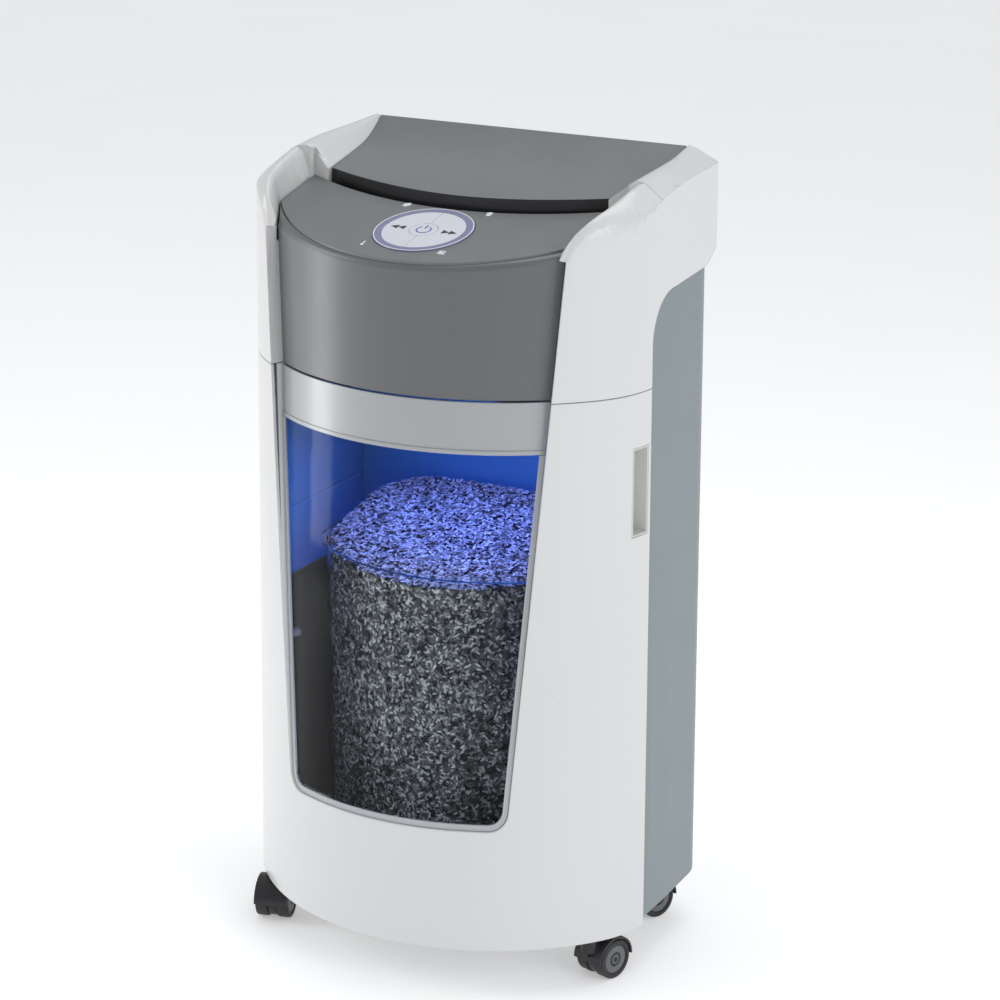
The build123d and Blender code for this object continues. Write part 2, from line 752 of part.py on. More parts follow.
def half_at_y(y):
    """Half width of the body at a given y, near the front corners."""
    centre_y = front_y + front_radius
    if y < centre_y - math.sqrt(front_radius ** 2 - 169.0 ** 2):
        return math.sqrt(front_radius ** 2 - (y - centre_y) ** 2)
    half = half_width(700)
    cx = half - corner_radius
    cy = centre_y - math.sqrt((front_radius - corner_radius) ** 2 - cx ** 2)
    if y < cy:
        return cx + math.sqrt(corner_radius ** 2 - (y - cy) ** 2)
    return half


def cheek_volume(drop):
    volume = None
    for stations in (front_stations, rear_stations):
        piece = loft([station_section(s, drop) for s in fill_in(stations)], ruled=True)
        piece &= block(0, very_far, stations[0][0] + drop, very_far, 0, 900)
        volume = piece if volume is None else volume + piece
    return volume


def cheek_right():
    low = seam_z + seam_gap
    body = cheek_volume(0) & hull(low, head_top_z, 0, rear_radius=head_rear_radius)
    cavity = cheek_volume(wall) & hull(low - 1, head_top_z, wall, rear_radius=head_rear_radius)
    cavity -= extrude(Pos(0, 0, 650) * panel_plan(-fit_gap - wall), 150)
    body -= cavity & (Pos(0, -wall, 0) * head_trim())
    side_box = block(0, very_far, front_y - 20, 24, 400, 800)
    body -= opening(0, window_foot_z + 20, 690) & block(-very_far, very_far, front_y - 20, -60, 400, 800)
    rim = recess_skin(low, 690, -12, 4) & hull(low, 690, 0.2) & opening(-rim_wall, window_foot_z + 20)
    rim = (rim - opening(0, window_foot_z + 20)) & side_box
    low_rim = rim & block(-very_far, very_far, -very_far, very_far, 0, cover_widens_z - fit_gap)
    body = body + low_rim + (rim & cheek_volume(0))
    body -= cabinet_zone(0)
    inset = casing_gap + casing_wall
    relief = hull(low - 5, bulkhead_z + bulkhead_thickness + fit_gap, inset)
    body -= relief & block(-very_far, very_far, split_y, back_y, 400, 800)
    body -= block(0, rear_cover_half + fit_gap, 112, back_y + 10, 500, 726)
    body -= extrude(Pos(0, 0, 660) * panel_plan(-fit_gap), 140)
    return largest(body & head_trim())


rear_cover_half = 150.0


def largest(shape):
    return shape.solids().sort_by(SortBy.VOLUME)[-1]


def rear_cover():
    shell = hull(652, head_top_z, 0, rear_radius=head_rear_radius)
    shell = shell & head_trim() & block(-rear_cover_half, rear_cover_half, 100, back_y + 10, 0, 749.5)
    lean_inner = Pos(0, -wall, 0) * head_trim()
    shell -= lean_inner
    shell -= cabinet_zone(0) - block(-back_panel_half, back_panel_half, 0, 300, 0, 800)
    for row in range(6):
        z = 672 + 7 * row
        shell -= block(-100, 100, 100, back_y + 10, z, z + 3)
    return shell


# ---------------------------------------------------------------- cutting unit
shaft_y = (feed_y - cutter_spacing / 2, feed_y + cutter_spacing / 2)
sync_teeth = 20
sync_module = cutter_spacing / sync_teeth
idler_small_teeth = 16
idler_large_teeth = 56
idler_module = 1.25
pinion_teeth = 12
sync_x = (124.0, 132.0)
drive_x = (134.0, 141.0)
motor_y = 82.0
motor_z = 650.0
motor_radius = 36.0


def gear(teeth, module, x0, x1, phase, bore):
    """Spur gear about the X axis; phase is the angle of one tooth from +Y towards +Z."""
    pitch = teeth * module / 2
    root = pitch - 1.2 * module
    tip = pitch + 0.75 * module
    step = 360.0 / teeth
    points = []
    for k in range(teeth):
        middle = phase + k * step
        for radius, offset in ((root, -0.27), (tip, -0.1), (tip, 0.1), (root, 0.27)):
            a = math.radians(middle + offset * step)
            points.append((radius * math.cos(a), radius * math.sin(a)))
    profile = make_face(Polyline(*points, close=True)) - Circle(bore)
    return extrude(Plane.YZ.offset(x0) * profile, x1 - x0)


def mesh_phase(phase_1, teeth_1, direction, teeth_2):
    """Phase of the second gear so that its gap meets the first gear's tooth."""
    offset = (phase_1 - direction) * teeth_1
    return direction + 180 + (180 - offset) / teeth_2


def idler_centre():
    """Third corner of the triangle rear shaft, idler, motor."""
    by, bz = shaft_y[1], cutter_z
    r1 = (sync_teeth + idler_small_teeth) * sync_module / 2
    r2 = (idler_large_teeth + pinion_teeth) * idler_module / 2
    dy, dz = motor_y - by, motor_z - bz
    span = math.hypot(dy, dz)
    along = (r1 ** 2 - r2 ** 2 + span ** 2) / (2 * span)
    lift = math.sqrt(max(r1 ** 2 - along ** 2, 0))
    return by + (along * dy - lift * dz) / span, bz + (along * dz + lift * dy) / span


def angle_between(a, b):
    return math.degrees(math.atan2(b[1] - a[1], b[0] - a[0]))


front_shaft = (shaft_y[0], cutter_z)
rear_shaft = (shaft_y[1], cutter_z)
idler_axis = idler_centre()
motor_axis = (motor_y, motor_z)
front_phase = 0.0
rear_phase = mesh_phase(front_phase, sync_teeth, 0.0, sync_teeth)
idler_phase = mesh_phase(rear_phase, sync_teeth, angle_between(rear_shaft, idler_axis), idler_small_teeth)
pinion_phase = mesh_phase(0.0, idler_large_teeth, angle_between(idler_axis, motor_axis), pinion_teeth)


def at_axis(axis, shape):
    return Pos(0, axis[0], axis[1]) * shape


def cutter_discs(axis, shift):
    """Row of toothed cutting discs with spacers between them."""
    first = -cutter_pitch * (cutter_count - 1) / 2 + shift
    end = frame_x - 1.0
    points = [(-end, journal_radius), (-end, cutter_core)]
    for k in range(cutter_count):
        x = first + k * cutter_pitch
        if x + cutter_disc / 2 > end:
            continue
        points += [(x - cutter_disc / 2, cutter_core), (x - cutter_disc / 2, cutter_radius),
                   (x + cutter_disc / 2, cutter_radius), (x + cutter_disc / 2, cutter_core)]
    points += [(end, cutter_core), (end, journal_radius)]
    return at_axis(axis, revolve_x(points))


def cutter_shaft(axis):
    return at_axis(axis, rod_x(-frame_x - 8, sync_x[1] + 0.5, 0, 0, journal_radius))


def sync_gear(axis, phase):
    return at_axis(axis, gear(sync_teeth, sync_module, *sync_x, phase, journal_radius))


def cutter_frame(side):
    z0 = bulkhead_z + bulkhead_thickness
    outline_points = [(-62, z0), (126, z0), (126, 690), (40, 690), (28, 668), (-52, 668), (-62, 650)]
    plate = extrude(Plane.YZ.offset(frame_x) * make_face(Polyline(*outline_points, close=True)), frame_plate)
    for y, z in (front_shaft, rear_shaft):
        plate -= rod_x(frame_x - 1, frame_x + frame_plate + 1, y, z, journal_radius + 4)
    if side > 0:
        plate -= rod_x(frame_x - 1, frame_x + 6, *idler_axis, 4 + running_gap)
        plate -= rod_x(frame_x - 1, frame_x + 6, *motor_axis, 7)
        return plate
    return mirror(plate, Plane.YZ)


def cutter_bearings():
    rings = []
    for y, z in (front_shaft, rear_shaft):
        for side in (-1, 1):
            middle = side * (frame_x + frame_plate / 2)
            ring = rod_x(middle - 2, middle + 2, y, z, journal_radius + 4)
            ring -= rod_x(middle - 3, middle + 3, y, z, journal_radius + running_gap)
            rings.append(ring.solid())
    return Compound(children=rings)


def tie_rods():
    places = ((-54, 586), (-54, 642), (50, 586))
    return Compound(children=[rod_x(-frame_x, frame_x, y, z, 4).solid() for y, z in places])


def stripper_comb(side):
    """Comb whose fingers clear the gaps between the discs."""
    away = shaft_y[0] - cutter_radius - 2 if side < 0 else shaft_y[1] + cutter_radius + 2
    bar = block(-frame_x + 0.3, frame_x - 0.3, away, away + side * 4, cutter_z - 14, cutter_z + 6)
    axis_y = shaft_y[0] if side < 0 else shaft_y[1]
    shift = -cutter_pitch / 4 if side < 0 else cutter_pitch / 4
    first = -cutter_pitch * (cutter_count - 1) / 2 + shift
    reach = axis_y + side * (cutter_core + 1.5)
    for k in range(cutter_count - 1):
        x = first + (k + 0.5) * cutter_pitch
        bar += block(x - 1.6, x + 1.6, reach, away + side * 1, cutter_z - 6, cutter_z - 1)
    return bar


def feed_guide(side):
    """Sheet that leads the paper from the slot down to the cutters."""
    if side < 0:
        points = ((-27.5, 694), (-30, 690), (feed_y - 5, cutter_z + 22), (feed_y - 3, cutter_z + 22), (-25, 694))
    else:
        points = ((6.5, 688), (4.5, 688), (feed_y + 3, cutter_z + 22), (feed_y + 5, cutter_z + 22), (9, 684))
    face = make_face(Polyline(*points, close=True))
    return extrude(Plane.YZ.offset(-frame_x + 0.3) * face, 2 * frame_x - 0.6)


def idler_gear():
    small = gear(idler_small_teeth, sync_module, *sync_x, idler_phase, 4)
    large = gear(idler_large_teeth, idler_module, *drive_x, 0.0, 4)
    hub = rod_x(sync_x[1], drive_x[0], 0, 0, 9) - rod_x(sync_x[1] - 1, drive_x[0] + 1, 0, 0, 4)
    axle = rod_x(frame_x - 4, drive_x[1] + 1, 0, 0, 4)
    return at_axis(idler_axis, small + large + hub + axle)


def motor_body():
    x1 = frame_x
    body = rod_x(-2, x1, *motor_axis, motor_radius) - rod_x(-3, x1 - 4, *motor_axis, motor_radius - 2.5)
    body -= rod_x(x1 - 5, x1 + 1, *motor_axis, 4 + running_gap)
    foot = block(20, 90, motor_y - 20, motor_y + 20, bulkhead_z + bulkhead_thickness, motor_z - motor_radius + 3)
    foot -= rod_x(0, x1, *motor_axis, motor_radius - 1)
    end = rod_x(-2, 1, *motor_axis, motor_radius) - rod_x(-3, 2, *motor_axis, 4 + running_gap)
    for k in range(8):
        a = math.radians(45 * k + 22.5)
        y = motor_y + 20 * math.cos(a)
        z = motor_z + 20 * math.sin(a)
        end -= rod_x(-3, 2, y, z, 5)
    return body + foot + end


def motor_rotor():
    shaft = rod_x(-14, drive_x[1] + 0.5, 0, 0, 4)
    core = rod_x(14, frame_x - 16, 0, 0, motor_radius - 7)
    pinion = gear(pinion_teeth, idler_module, *drive_x, pinion_phase, 3.5)
    fan = rod_x(-13, -11.5, 0, 0, 24)
    for k in range(7):
        fan += Rot(360 / 7 * k, 0, 0) * block(-11.5, -4.5, -0.8, 0.8, 7, 24)
    return at_axis(motor_axis, shaft + core + pinion + fan)


def capacitor():
    z0 = bulkhead_z + bulkhead_thickness
    can = rod_z(z0, z0 + 66, -84, 84, 19)
    can += rod_z(z0 + 66, z0 + 69, -84, 84, 14)
    return can + block(-90, -88, 82, 86, z0 + 69, z0 + 75) + block(-80, -78, 82, 86, z0 + 69, z0 + 75)


def control_board():
    """Circuit board hung under the key disc, with its posts."""
    place = panel_plane.location * Pos(0, panel_local(disc_y), 0)
    board = Pos(0, 0, -panel_thickness - 9) * Box(118, 44, 1.6)
    posts = [Pos(x, y, -panel_thickness - 4.1) * Cylinder(2.5, 8.2) for x in (-54, 54) for y in (-17, 17)]
    switches = [Pos(x, 0, -panel_thickness - 7.2) * Box(6, 6, 2) for x in (-24, 0, 24)]
    chips = [Pos(x, 14, -panel_thickness - 10.6) * Box(12, 8, 1.6) for x in (-20, 10)]
    board = board + posts + switches + chips
    return place * board


def bin_lamps():
    """Pair of lamps under the bulkhead that light the bin."""
    lamps = []
    for x in (-70, 70):
        lamp = block(x - 16, x + 16, -108, -98, bulkhead_z - 4, bulkhead_z)
        lamps.append(fillet(lamp.edges().filter_by(Axis.Z), 4).solid())
    return Compound(children=lamps)


def back_screws():
    screws = []
    for x, z in screw_places:
        head = Pos(x, back_y - screw_sink + screw_head / 2, z) * Rot(90, 0, 0) * Cylinder(screw_radius, screw_head)
        head -= Pos(x, back_y - screw_sink + screw_head, z) * Box(1, 1.4, 5)
        screws.append(head.solid())
    return Compound(children=screws)


# ---------------------------------------------------------------- casters
def caster_place(name):
    x, y, heading = casters[name]
    return Pos(x, y, 0) * Rot(0, 0, heading)


def caster_wheels():
    """Wheel pair on its axle; the axle lies along local Y, trail along local X."""
    inner = caster_web / 2 + 0.5
    pair = Rot(90, 0, 0) * Cylinder(2.5, 2 * (inner + wheel_width))
    for side in (-1, 1):
        tyre = Rot(90, 0, 0) * Cylinder(wheel_radius, wheel_width)
        tyre = fillet(tyre.edges().filter_by(GeomType.CIRCLE), 1.6)
        dish = Pos(0, side * (wheel_width / 2), 0) * Rot(90, 0, 0) * Cylinder(wheel_radius - 3.5, 1.6)
        tyre -= dish
        pair += Pos(0, side * (inner + wheel_width / 2), 0) * tyre
    return Pos(caster_trail, 0, wheel_radius) * pair


def caster_fork():
    """Hooded fork with its swivel stem."""
    full = caster_web + 2 * (0.5 + wheel_width)
    outer = wheel_radius + hood_gap + hood_wall
    at_axle = Pos(caster_trail, 0, wheel_radius) * Rot(90, 0, 0)
    hood = at_axle * (Cylinder(outer, full) - Cylinder(outer - hood_wall, full + 2))
    hood -= Pos(caster_trail, 0, wheel_radius - 30) * Box(80, 60, 60)
    web = at_axle * Cylinder(wheel_radius - 1.5, caster_web)
    top = base_z - boss_drop - fit_gap
    web += Pos(caster_trail, 0, wheel_radius + 10) * Box(16, caster_web, 2 * (outer - 10) - 1)
    boss = rod_z(wheel_radius + 10, top, 0, 0, boss_radius)
    arm = Pos(5, 0, wheel_radius + 14) * Box(26, caster_web, 16)
    wheel_space = at_axle * (Cylinder(wheel_radius + hood_gap, full) - Cylinder(wheel_radius + 20, caster_web))
    fork = hood + web + arm + boss - wheel_space
    fork -= at_axle * Cylinder(2.5 + running_gap, full + 2)
    return fork + rod_z(top - 1, base_z + base_thickness - 1.6, 0, 0, stem_radius)


# ---------------------------------------------------------------- write all
def pair(maker):
    """Left and right, or front and rear, pieces of one kind."""
    solids = []
    for side in (-1, 1):
        solids += maker(side).solids()
    return Compound(children=solids)


def static_parts():
    yield "head_front_cover", head_front_cover()
    yield "control_panel", control_panel()
    yield "disc_ring", disc_ring()
    yield "indicator_lenses", indicator_lenses()
    yield "rear_deck", rear_deck()
    yield "rear_cover", rear_cover()
    yield "back_panel", back_panel()
    yield "base_plate", base_plate()
    yield "bay_rear_frame", bay_rear_frame()
    yield "bulkhead", bulkhead()
    yield "bin_switch", bin_switch()
    yield "mains_inlet", mains_inlet()
    yield "rocker_housing", rocker_housing()
    yield "cutter_bearings", cutter_bearings()
    yield "cutter_frames", pair(cutter_frame)
    yield "tie_rods", tie_rods()
    yield "stripper_combs", pair(stripper_comb)
    yield "feed_guides", pair(feed_guide)
    yield "runners_fixed", pair(runner_fixed)
    yield "motor_body", motor_body()
    yield "capacitor", capacitor()
    yield "control_board", control_board()
    yield "bin_lamps", bin_lamps()
    yield "back_screws", back_screws()
    cheek = cheek_right()
    yield "cheek_right", cheek
    yield "cheek_left", mirror(cheek, Plane.YZ)
    for name, side in (("left", -1), ("right", 1)):
        yield f"side_panel_{name}", side_panel(side)


def moving_parts():
    yield "drawer_front", drawer_front()
    yield "silver_band", silver_band()
    yield "window_trim", window_trim()
    yield "window_pane", window_pane()
    yield "drawer_tray", drawer_tray()
    yield "drawer_back", drawer_back()
    yield "bin_tub", bin_tub()
    yield "paper_shreds", paper_shreds()
    yield "grip_cups", pair(grip_cup)
    yield "drawer_sides", pair(drawer_side)
    yield "runners_moving", pair(runner_moving)
    yield "runners_middle", pair(runner_middle)
    for name in ("reverse", "power", "forward"):
        yield f"key_{name}", key_cap(name)
    yield "mains_rocker", rocker()
    yield "motor_rotor", motor_rotor()
    yield "idler_gear", idler_gear()
    for name, axis, shift, phase in (("front", front_shaft, -cutter_pitch / 4, front_phase),
                                     ("rear", rear_shaft, cutter_pitch / 4, rear_phase)):
        yield f"cutter_shaft_{name}", cutter_shaft(axis)
        yield f"cutter_discs_{name}", cutter_discs(axis, shift)
        yield f"sync_gear_{name}", sync_gear(axis, phase)
    for name in casters:
        yield f"caster_fork_{name}", caster_place(name) * caster_fork()
        yield f"caster_wheels_{name}", caster_place(name) * caster_wheels()


os.makedirs("parts", exist_ok=True)
for maker in (static_parts, moving_parts):
    for node, shape in maker():
        save(node, shape)
print("idler axis", idler_axis)
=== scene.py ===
import json
import math

import bpy
import bmesh
import numpy as np
from mathutils import Matrix, Vector


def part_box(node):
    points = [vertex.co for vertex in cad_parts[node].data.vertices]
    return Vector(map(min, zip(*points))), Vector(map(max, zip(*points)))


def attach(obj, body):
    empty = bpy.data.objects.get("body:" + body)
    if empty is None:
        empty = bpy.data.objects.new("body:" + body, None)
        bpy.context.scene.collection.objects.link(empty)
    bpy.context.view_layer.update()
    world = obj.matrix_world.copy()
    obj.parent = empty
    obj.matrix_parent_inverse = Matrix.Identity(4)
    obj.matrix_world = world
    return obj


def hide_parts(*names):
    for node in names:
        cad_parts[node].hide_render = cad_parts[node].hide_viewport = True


# Paper shredder on four casters. Sizes in metres, +Z up, front towards -Y.

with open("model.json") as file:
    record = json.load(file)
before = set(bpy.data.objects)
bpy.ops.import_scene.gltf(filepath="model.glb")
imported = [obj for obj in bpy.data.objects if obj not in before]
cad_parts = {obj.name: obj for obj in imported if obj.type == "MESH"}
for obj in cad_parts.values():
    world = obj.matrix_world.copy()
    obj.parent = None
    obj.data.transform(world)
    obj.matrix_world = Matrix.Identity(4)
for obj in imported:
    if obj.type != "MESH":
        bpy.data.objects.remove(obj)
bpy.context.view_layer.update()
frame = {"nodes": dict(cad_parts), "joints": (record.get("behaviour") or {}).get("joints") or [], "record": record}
nodes = frame["nodes"]
record = frame["record"]
slot_of = {part["node"]: part["material_slot"] for part in record["subparts"]}
body_of_node = {node: body for body, members in record["behaviour"]["bodies"].items() for node in members}
joints = {joint["name"]: joint for joint in frame["joints"]}
casters = ("front_left", "front_right", "rear_left", "rear_right")


# ---------------------------------------------------------------- node helpers
def group_tree(name, inputs, outputs):
    """A shader node group with named sockets, and its input and output nodes."""
    tree = bpy.data.node_groups.new(name, "ShaderNodeTree")
    for label, kind, value in inputs:
        tree.interface.new_socket(label, in_out="INPUT", socket_type=kind).default_value = value
    for label, kind in outputs:
        tree.interface.new_socket(label, in_out="OUTPUT", socket_type=kind)
    return tree, tree.nodes.new("NodeGroupInput"), tree.nodes.new("NodeGroupOutput")


def feed(tree, socket, value):
    """Links a socket to another node's output, or sets it to a constant."""
    if isinstance(value, bpy.types.NodeSocket):
        tree.links.new(value, socket)
    else:
        socket.default_value = value


def put(tree, kind, **settings):
    """A node with its settings; a key that names a socket sets or links that socket."""
    node = tree.nodes.new("ShaderNode" + kind)
    for key, value in settings.items():
        if key.startswith("in_"):
            socket_name = key[3:].replace("_", " ")
            feed(tree, node.inputs[int(socket_name) if socket_name.isdigit() else socket_name], value)
        else:
            setattr(node, key, value)
    return node


def maths(tree, operation, a, b, c=0.5, clamp=False):
    """One sum; the third value counts only where the operation takes three."""
    return put(tree, "Math", operation=operation, use_clamp=clamp, in_0=a, in_1=b, in_2=c).outputs[0]


def scale_from(tree, value, low, high, to_low=0.0, to_high=1.0):
    """A value's range from low to high, stretched to another range and held there."""
    return put(tree, "MapRange", in_Value=value, in_From_Min=low, in_From_Max=high,
               in_To_Min=to_low, in_To_Max=to_high).outputs[0]


def blend_colours(tree, factor, a, b):
    """A colour between two, which are sockets 6 and 7 of a Mix node set to colour."""
    return put(tree, "Mix", data_type="RGBA", in_0=factor, in_6=a, in_7=b).outputs[2]


def object_coords(tree):
    """Place on the object, for patterns that hold to it."""
    return put(tree, "TexCoord").outputs["Object"]


def noise(tree, place, scale, detail=2.0, **settings):
    """Cloudy pattern between 0 and 1, about 0.5 in the middle."""
    return put(tree, "TexNoise", in_Vector=place, in_Scale=scale, in_Detail=detail, **settings).outputs[0]


def lighter(colour, factor, lift=0.0):
    """The same colour lighter or darker, with its fourth channel."""
    return tuple(min(1.0, channel * factor + lift) for channel in colour) + (1.0,)


def rgba(colour):
    """A colour with its fourth channel."""
    return (colour[0], colour[1], colour[2], 1.0)


# ---------------------------------------------------------------- shared effects
def make_moulded_grain():
    """Tint that drifts slowly, mottled gloss and a fine surface grain."""
    tree, given, made = group_tree("moulded_grain", [
        ("Tint", "NodeSocketColor", (0.5, 0.5, 0.5, 1)), ("Tint Spread", "NodeSocketFloat", 0.05),
        ("Grain Scale", "NodeSocketFloat", 900.0), ("Gloss", "NodeSocketFloat", 0.4),
        ("Gloss Spread", "NodeSocketFloat", 0.1)],
        [("Color", "NodeSocketColor"), ("Roughness", "NodeSocketFloat"), ("Height", "NodeSocketFloat")])
    place = object_coords(tree)
    mottle = noise(tree, place, scale=38.0, detail=4.0)
    grain = noise(tree, place, given.outputs["Grain Scale"])
    drift = maths(tree, "SUBTRACT", noise(tree, place, scale=5.0, detail=3.0), 0.5)
    value = maths(tree, "MULTIPLY_ADD", drift, given.outputs["Tint Spread"], 1.0)
    tint = put(tree, "HueSaturation", in_Value=value, in_Color=given.outputs["Tint"])
    gloss = maths(tree, "MULTIPLY_ADD", maths(tree, "SUBTRACT", mottle, 0.5),
                  given.outputs["Gloss Spread"], given.outputs["Gloss"])
    tree.links.new(tint.outputs[0], made.inputs["Color"])
    tree.links.new(gloss, made.inputs["Roughness"])
    tree.links.new(grain, made.inputs["Height"])
    return tree


def make_edge_wear():
    """Mask and normal of softened edges, broken up by noise."""
    tree, given, made = group_tree("edge_wear", [
        ("Width", "NodeSocketFloat", 0.0012), ("Breakup Scale", "NodeSocketFloat", 60.0),
        ("Strength", "NodeSocketFloat", 1.0)],
        [("Mask", "NodeSocketFloat"), ("Normal", "NodeSocketVector")])
    soft = put(tree, "Bevel", samples=6, in_Radius=given.outputs["Width"]).outputs[0]
    flat = put(tree, "NewGeometry").outputs["Normal"]
    align = put(tree, "VectorMath", operation="DOT_PRODUCT", in_0=soft, in_1=flat).outputs["Value"]
    edge = scale_from(tree, align, low=0.995, high=0.9)
    breakup = noise(tree, object_coords(tree), given.outputs["Breakup Scale"], detail=5.0)
    broken = maths(tree, "MULTIPLY", edge, scale_from(tree, breakup, low=0.38, high=0.62))
    mask = maths(tree, "MULTIPLY", broken, given.outputs["Strength"], clamp=True)
    tree.links.new(mask, made.inputs["Mask"])
    tree.links.new(soft, made.inputs["Normal"])
    return tree


def make_settled_dust():
    """Faint dust on faces that look up, in patches with fine specks."""
    tree, given, made = group_tree("settled_dust", [
        ("Color", "NodeSocketColor", (0.5, 0.5, 0.5, 1)), ("Roughness", "NodeSocketFloat", 0.4),
        ("Dust Color", "NodeSocketColor", (0.55, 0.54, 0.52, 1)), ("Amount", "NodeSocketFloat", 0.1)],
        [("Color", "NodeSocketColor"), ("Roughness", "NodeSocketFloat")])
    place = object_coords(tree)
    up = put(tree, "SeparateXYZ", in_Vector=put(tree, "NewGeometry").outputs["Normal"]).outputs["Z"]
    facing = scale_from(tree, up, low=0.2, high=1.0)
    clouds = noise(tree, place, scale=22.0, detail=6.0, in_Roughness=0.7)
    patches = scale_from(tree, clouds, low=0.42, high=0.7)
    cells = put(tree, "TexVoronoi", in_Vector=place, in_Scale=420.0).outputs[0]
    specks = scale_from(tree, cells, low=0.16, high=0.05)
    settled = maths(tree, "MULTIPLY", facing, maths(tree, "ADD", patches, specks))
    amount = maths(tree, "MULTIPLY", settled, given.outputs["Amount"], clamp=True)
    colour = blend_colours(tree, amount, given.outputs["Color"], given.outputs["Dust Color"])
    rough = maths(tree, "MULTIPLY_ADD", amount, 0.5, given.outputs["Roughness"], clamp=True)
    tree.links.new(colour, made.inputs["Color"])
    tree.links.new(rough, made.inputs["Roughness"])
    return tree


def make_brushed_lines():
    """Fine drawn lines along one direction, for metals."""
    tree, given, made = group_tree("brushed_lines", [
        ("Stretch", "NodeSocketVector", (4.0, 900.0, 900.0)), ("Gloss", "NodeSocketFloat", 0.3),
        ("Gloss Spread", "NodeSocketFloat", 0.15)],
        [("Roughness", "NodeSocketFloat"), ("Height", "NodeSocketFloat"), ("Streak", "NodeSocketFloat")])
    stretched = put(tree, "VectorMath", operation="MULTIPLY", in_0=object_coords(tree),
                    in_1=given.outputs["Stretch"]).outputs[0]
    lines = noise(tree, stretched, scale=1.0, detail=4.0)
    gloss = maths(tree, "MULTIPLY_ADD", maths(tree, "SUBTRACT", lines, 0.5),
                  given.outputs["Gloss Spread"], given.outputs["Gloss"])
    tree.links.new(gloss, made.inputs["Roughness"])
    tree.links.new(lines, made.inputs["Height"])
    tree.links.new(lines, made.inputs["Streak"])
    return tree


moulded_grain = make_moulded_grain()
edge_wear = make_edge_wear()
settled_dust = make_settled_dust()
brushed_lines = make_brushed_lines()


def place_group(tree, group, **sockets):
    """A shared effect, placed in a material with its own values."""
    node = tree.nodes.new("ShaderNodeGroup")
    node.node_tree = group
    for key, value in sockets.items():
        feed(tree, node.inputs[key.replace("_", " ")], value)
    return node


def blank_material(name):
    """A material with one Principled shader, and the nodes to add to."""
    material = bpy.data.materials.new(name)
    material.use_nodes = True
    tree = material.node_tree
    tree.nodes.clear()
    shader = tree.nodes.new("ShaderNodeBsdfPrincipled")
    out = tree.nodes.new("ShaderNodeOutputMaterial")
    tree.links.new(shader.outputs[0], out.inputs[0])
    return material, tree, shader, out


def plastic(name, colour, gloss=0.4, gloss_spread=0.12, grain=900.0, relief=0.00002, edge=0.0012,
            worn=None, wear=0.35, dust=0.08, coat=0.0, coat_gloss=0.12, tint_spread=0.08, metal=0.0):
    """Moulded plastic or paint: drifting tint, grain, worn edges and a little dust."""
    material, tree, shader, _ = blank_material(name)
    base = place_group(tree, moulded_grain, Tint=rgba(colour), Tint_Spread=tint_spread, Grain_Scale=grain,
                       Gloss=gloss, Gloss_Spread=gloss_spread)
    worn_colour = rgba(worn) if worn else lighter(colour, 1.35, 0.02)
    edges = place_group(tree, edge_wear, Width=edge, Strength=wear)
    edged = blend_colours(tree, edges.outputs["Mask"], base.outputs["Color"], worn_colour)
    dusty = place_group(tree, settled_dust, Color=edged, Roughness=base.outputs["Roughness"], Amount=dust)
    bump = put(tree, "Bump", in_Strength=0.5, in_Distance=relief, in_Height=base.outputs["Height"],
               in_Normal=edges.outputs["Normal"])
    tree.links.new(dusty.outputs["Color"], shader.inputs["Base Color"])
    tree.links.new(dusty.outputs["Roughness"], shader.inputs["Roughness"])
    tree.links.new(bump.outputs[0], shader.inputs["Normal"])
    shader.inputs["Coat Weight"].default_value = coat
    shader.inputs["Coat Roughness"].default_value = coat_gloss
    shader.inputs["Metallic"].default_value = metal
    return material


def metal(name, colour, stretch, gloss=0.3):
    """Drawn or turned metal with lines, bright edges and slight tarnish."""
    tarnish = (0.25, 0.22, 0.18)
    line_relief = 0.00001
    material, tree, shader, _ = blank_material(name)
    lines = place_group(tree, brushed_lines, Stretch=stretch, Gloss=gloss, Gloss_Spread=0.18)
    edges = place_group(tree, edge_wear, Width=0.0006, Strength=0.6)
    patches = noise(tree, object_coords(tree), scale=26.0, detail=5.0)
    spots = scale_from(tree, patches, low=0.55, high=0.75, to_high=0.45)
    dull = blend_colours(tree, spots, rgba(colour), rgba(tarnish))
    streaks = scale_from(tree, lines.outputs["Streak"], low=0.3, high=0.7, to_high=0.25)
    streaked = blend_colours(tree, streaks, dull, lighter(colour, 0.7))
    bright = blend_colours(tree, edges.outputs["Mask"], streaked, lighter(colour, 1.3))
    bump = put(tree, "Bump", in_Strength=0.4, in_Distance=line_relief, in_Height=lines.outputs["Height"],
               in_Normal=edges.outputs["Normal"])
    tree.links.new(bright, shader.inputs["Base Color"])
    tree.links.new(lines.outputs["Roughness"], shader.inputs["Roughness"])
    tree.links.new(bump.outputs[0], shader.inputs["Normal"])
    shader.inputs["Metallic"].default_value = 1.0
    return material


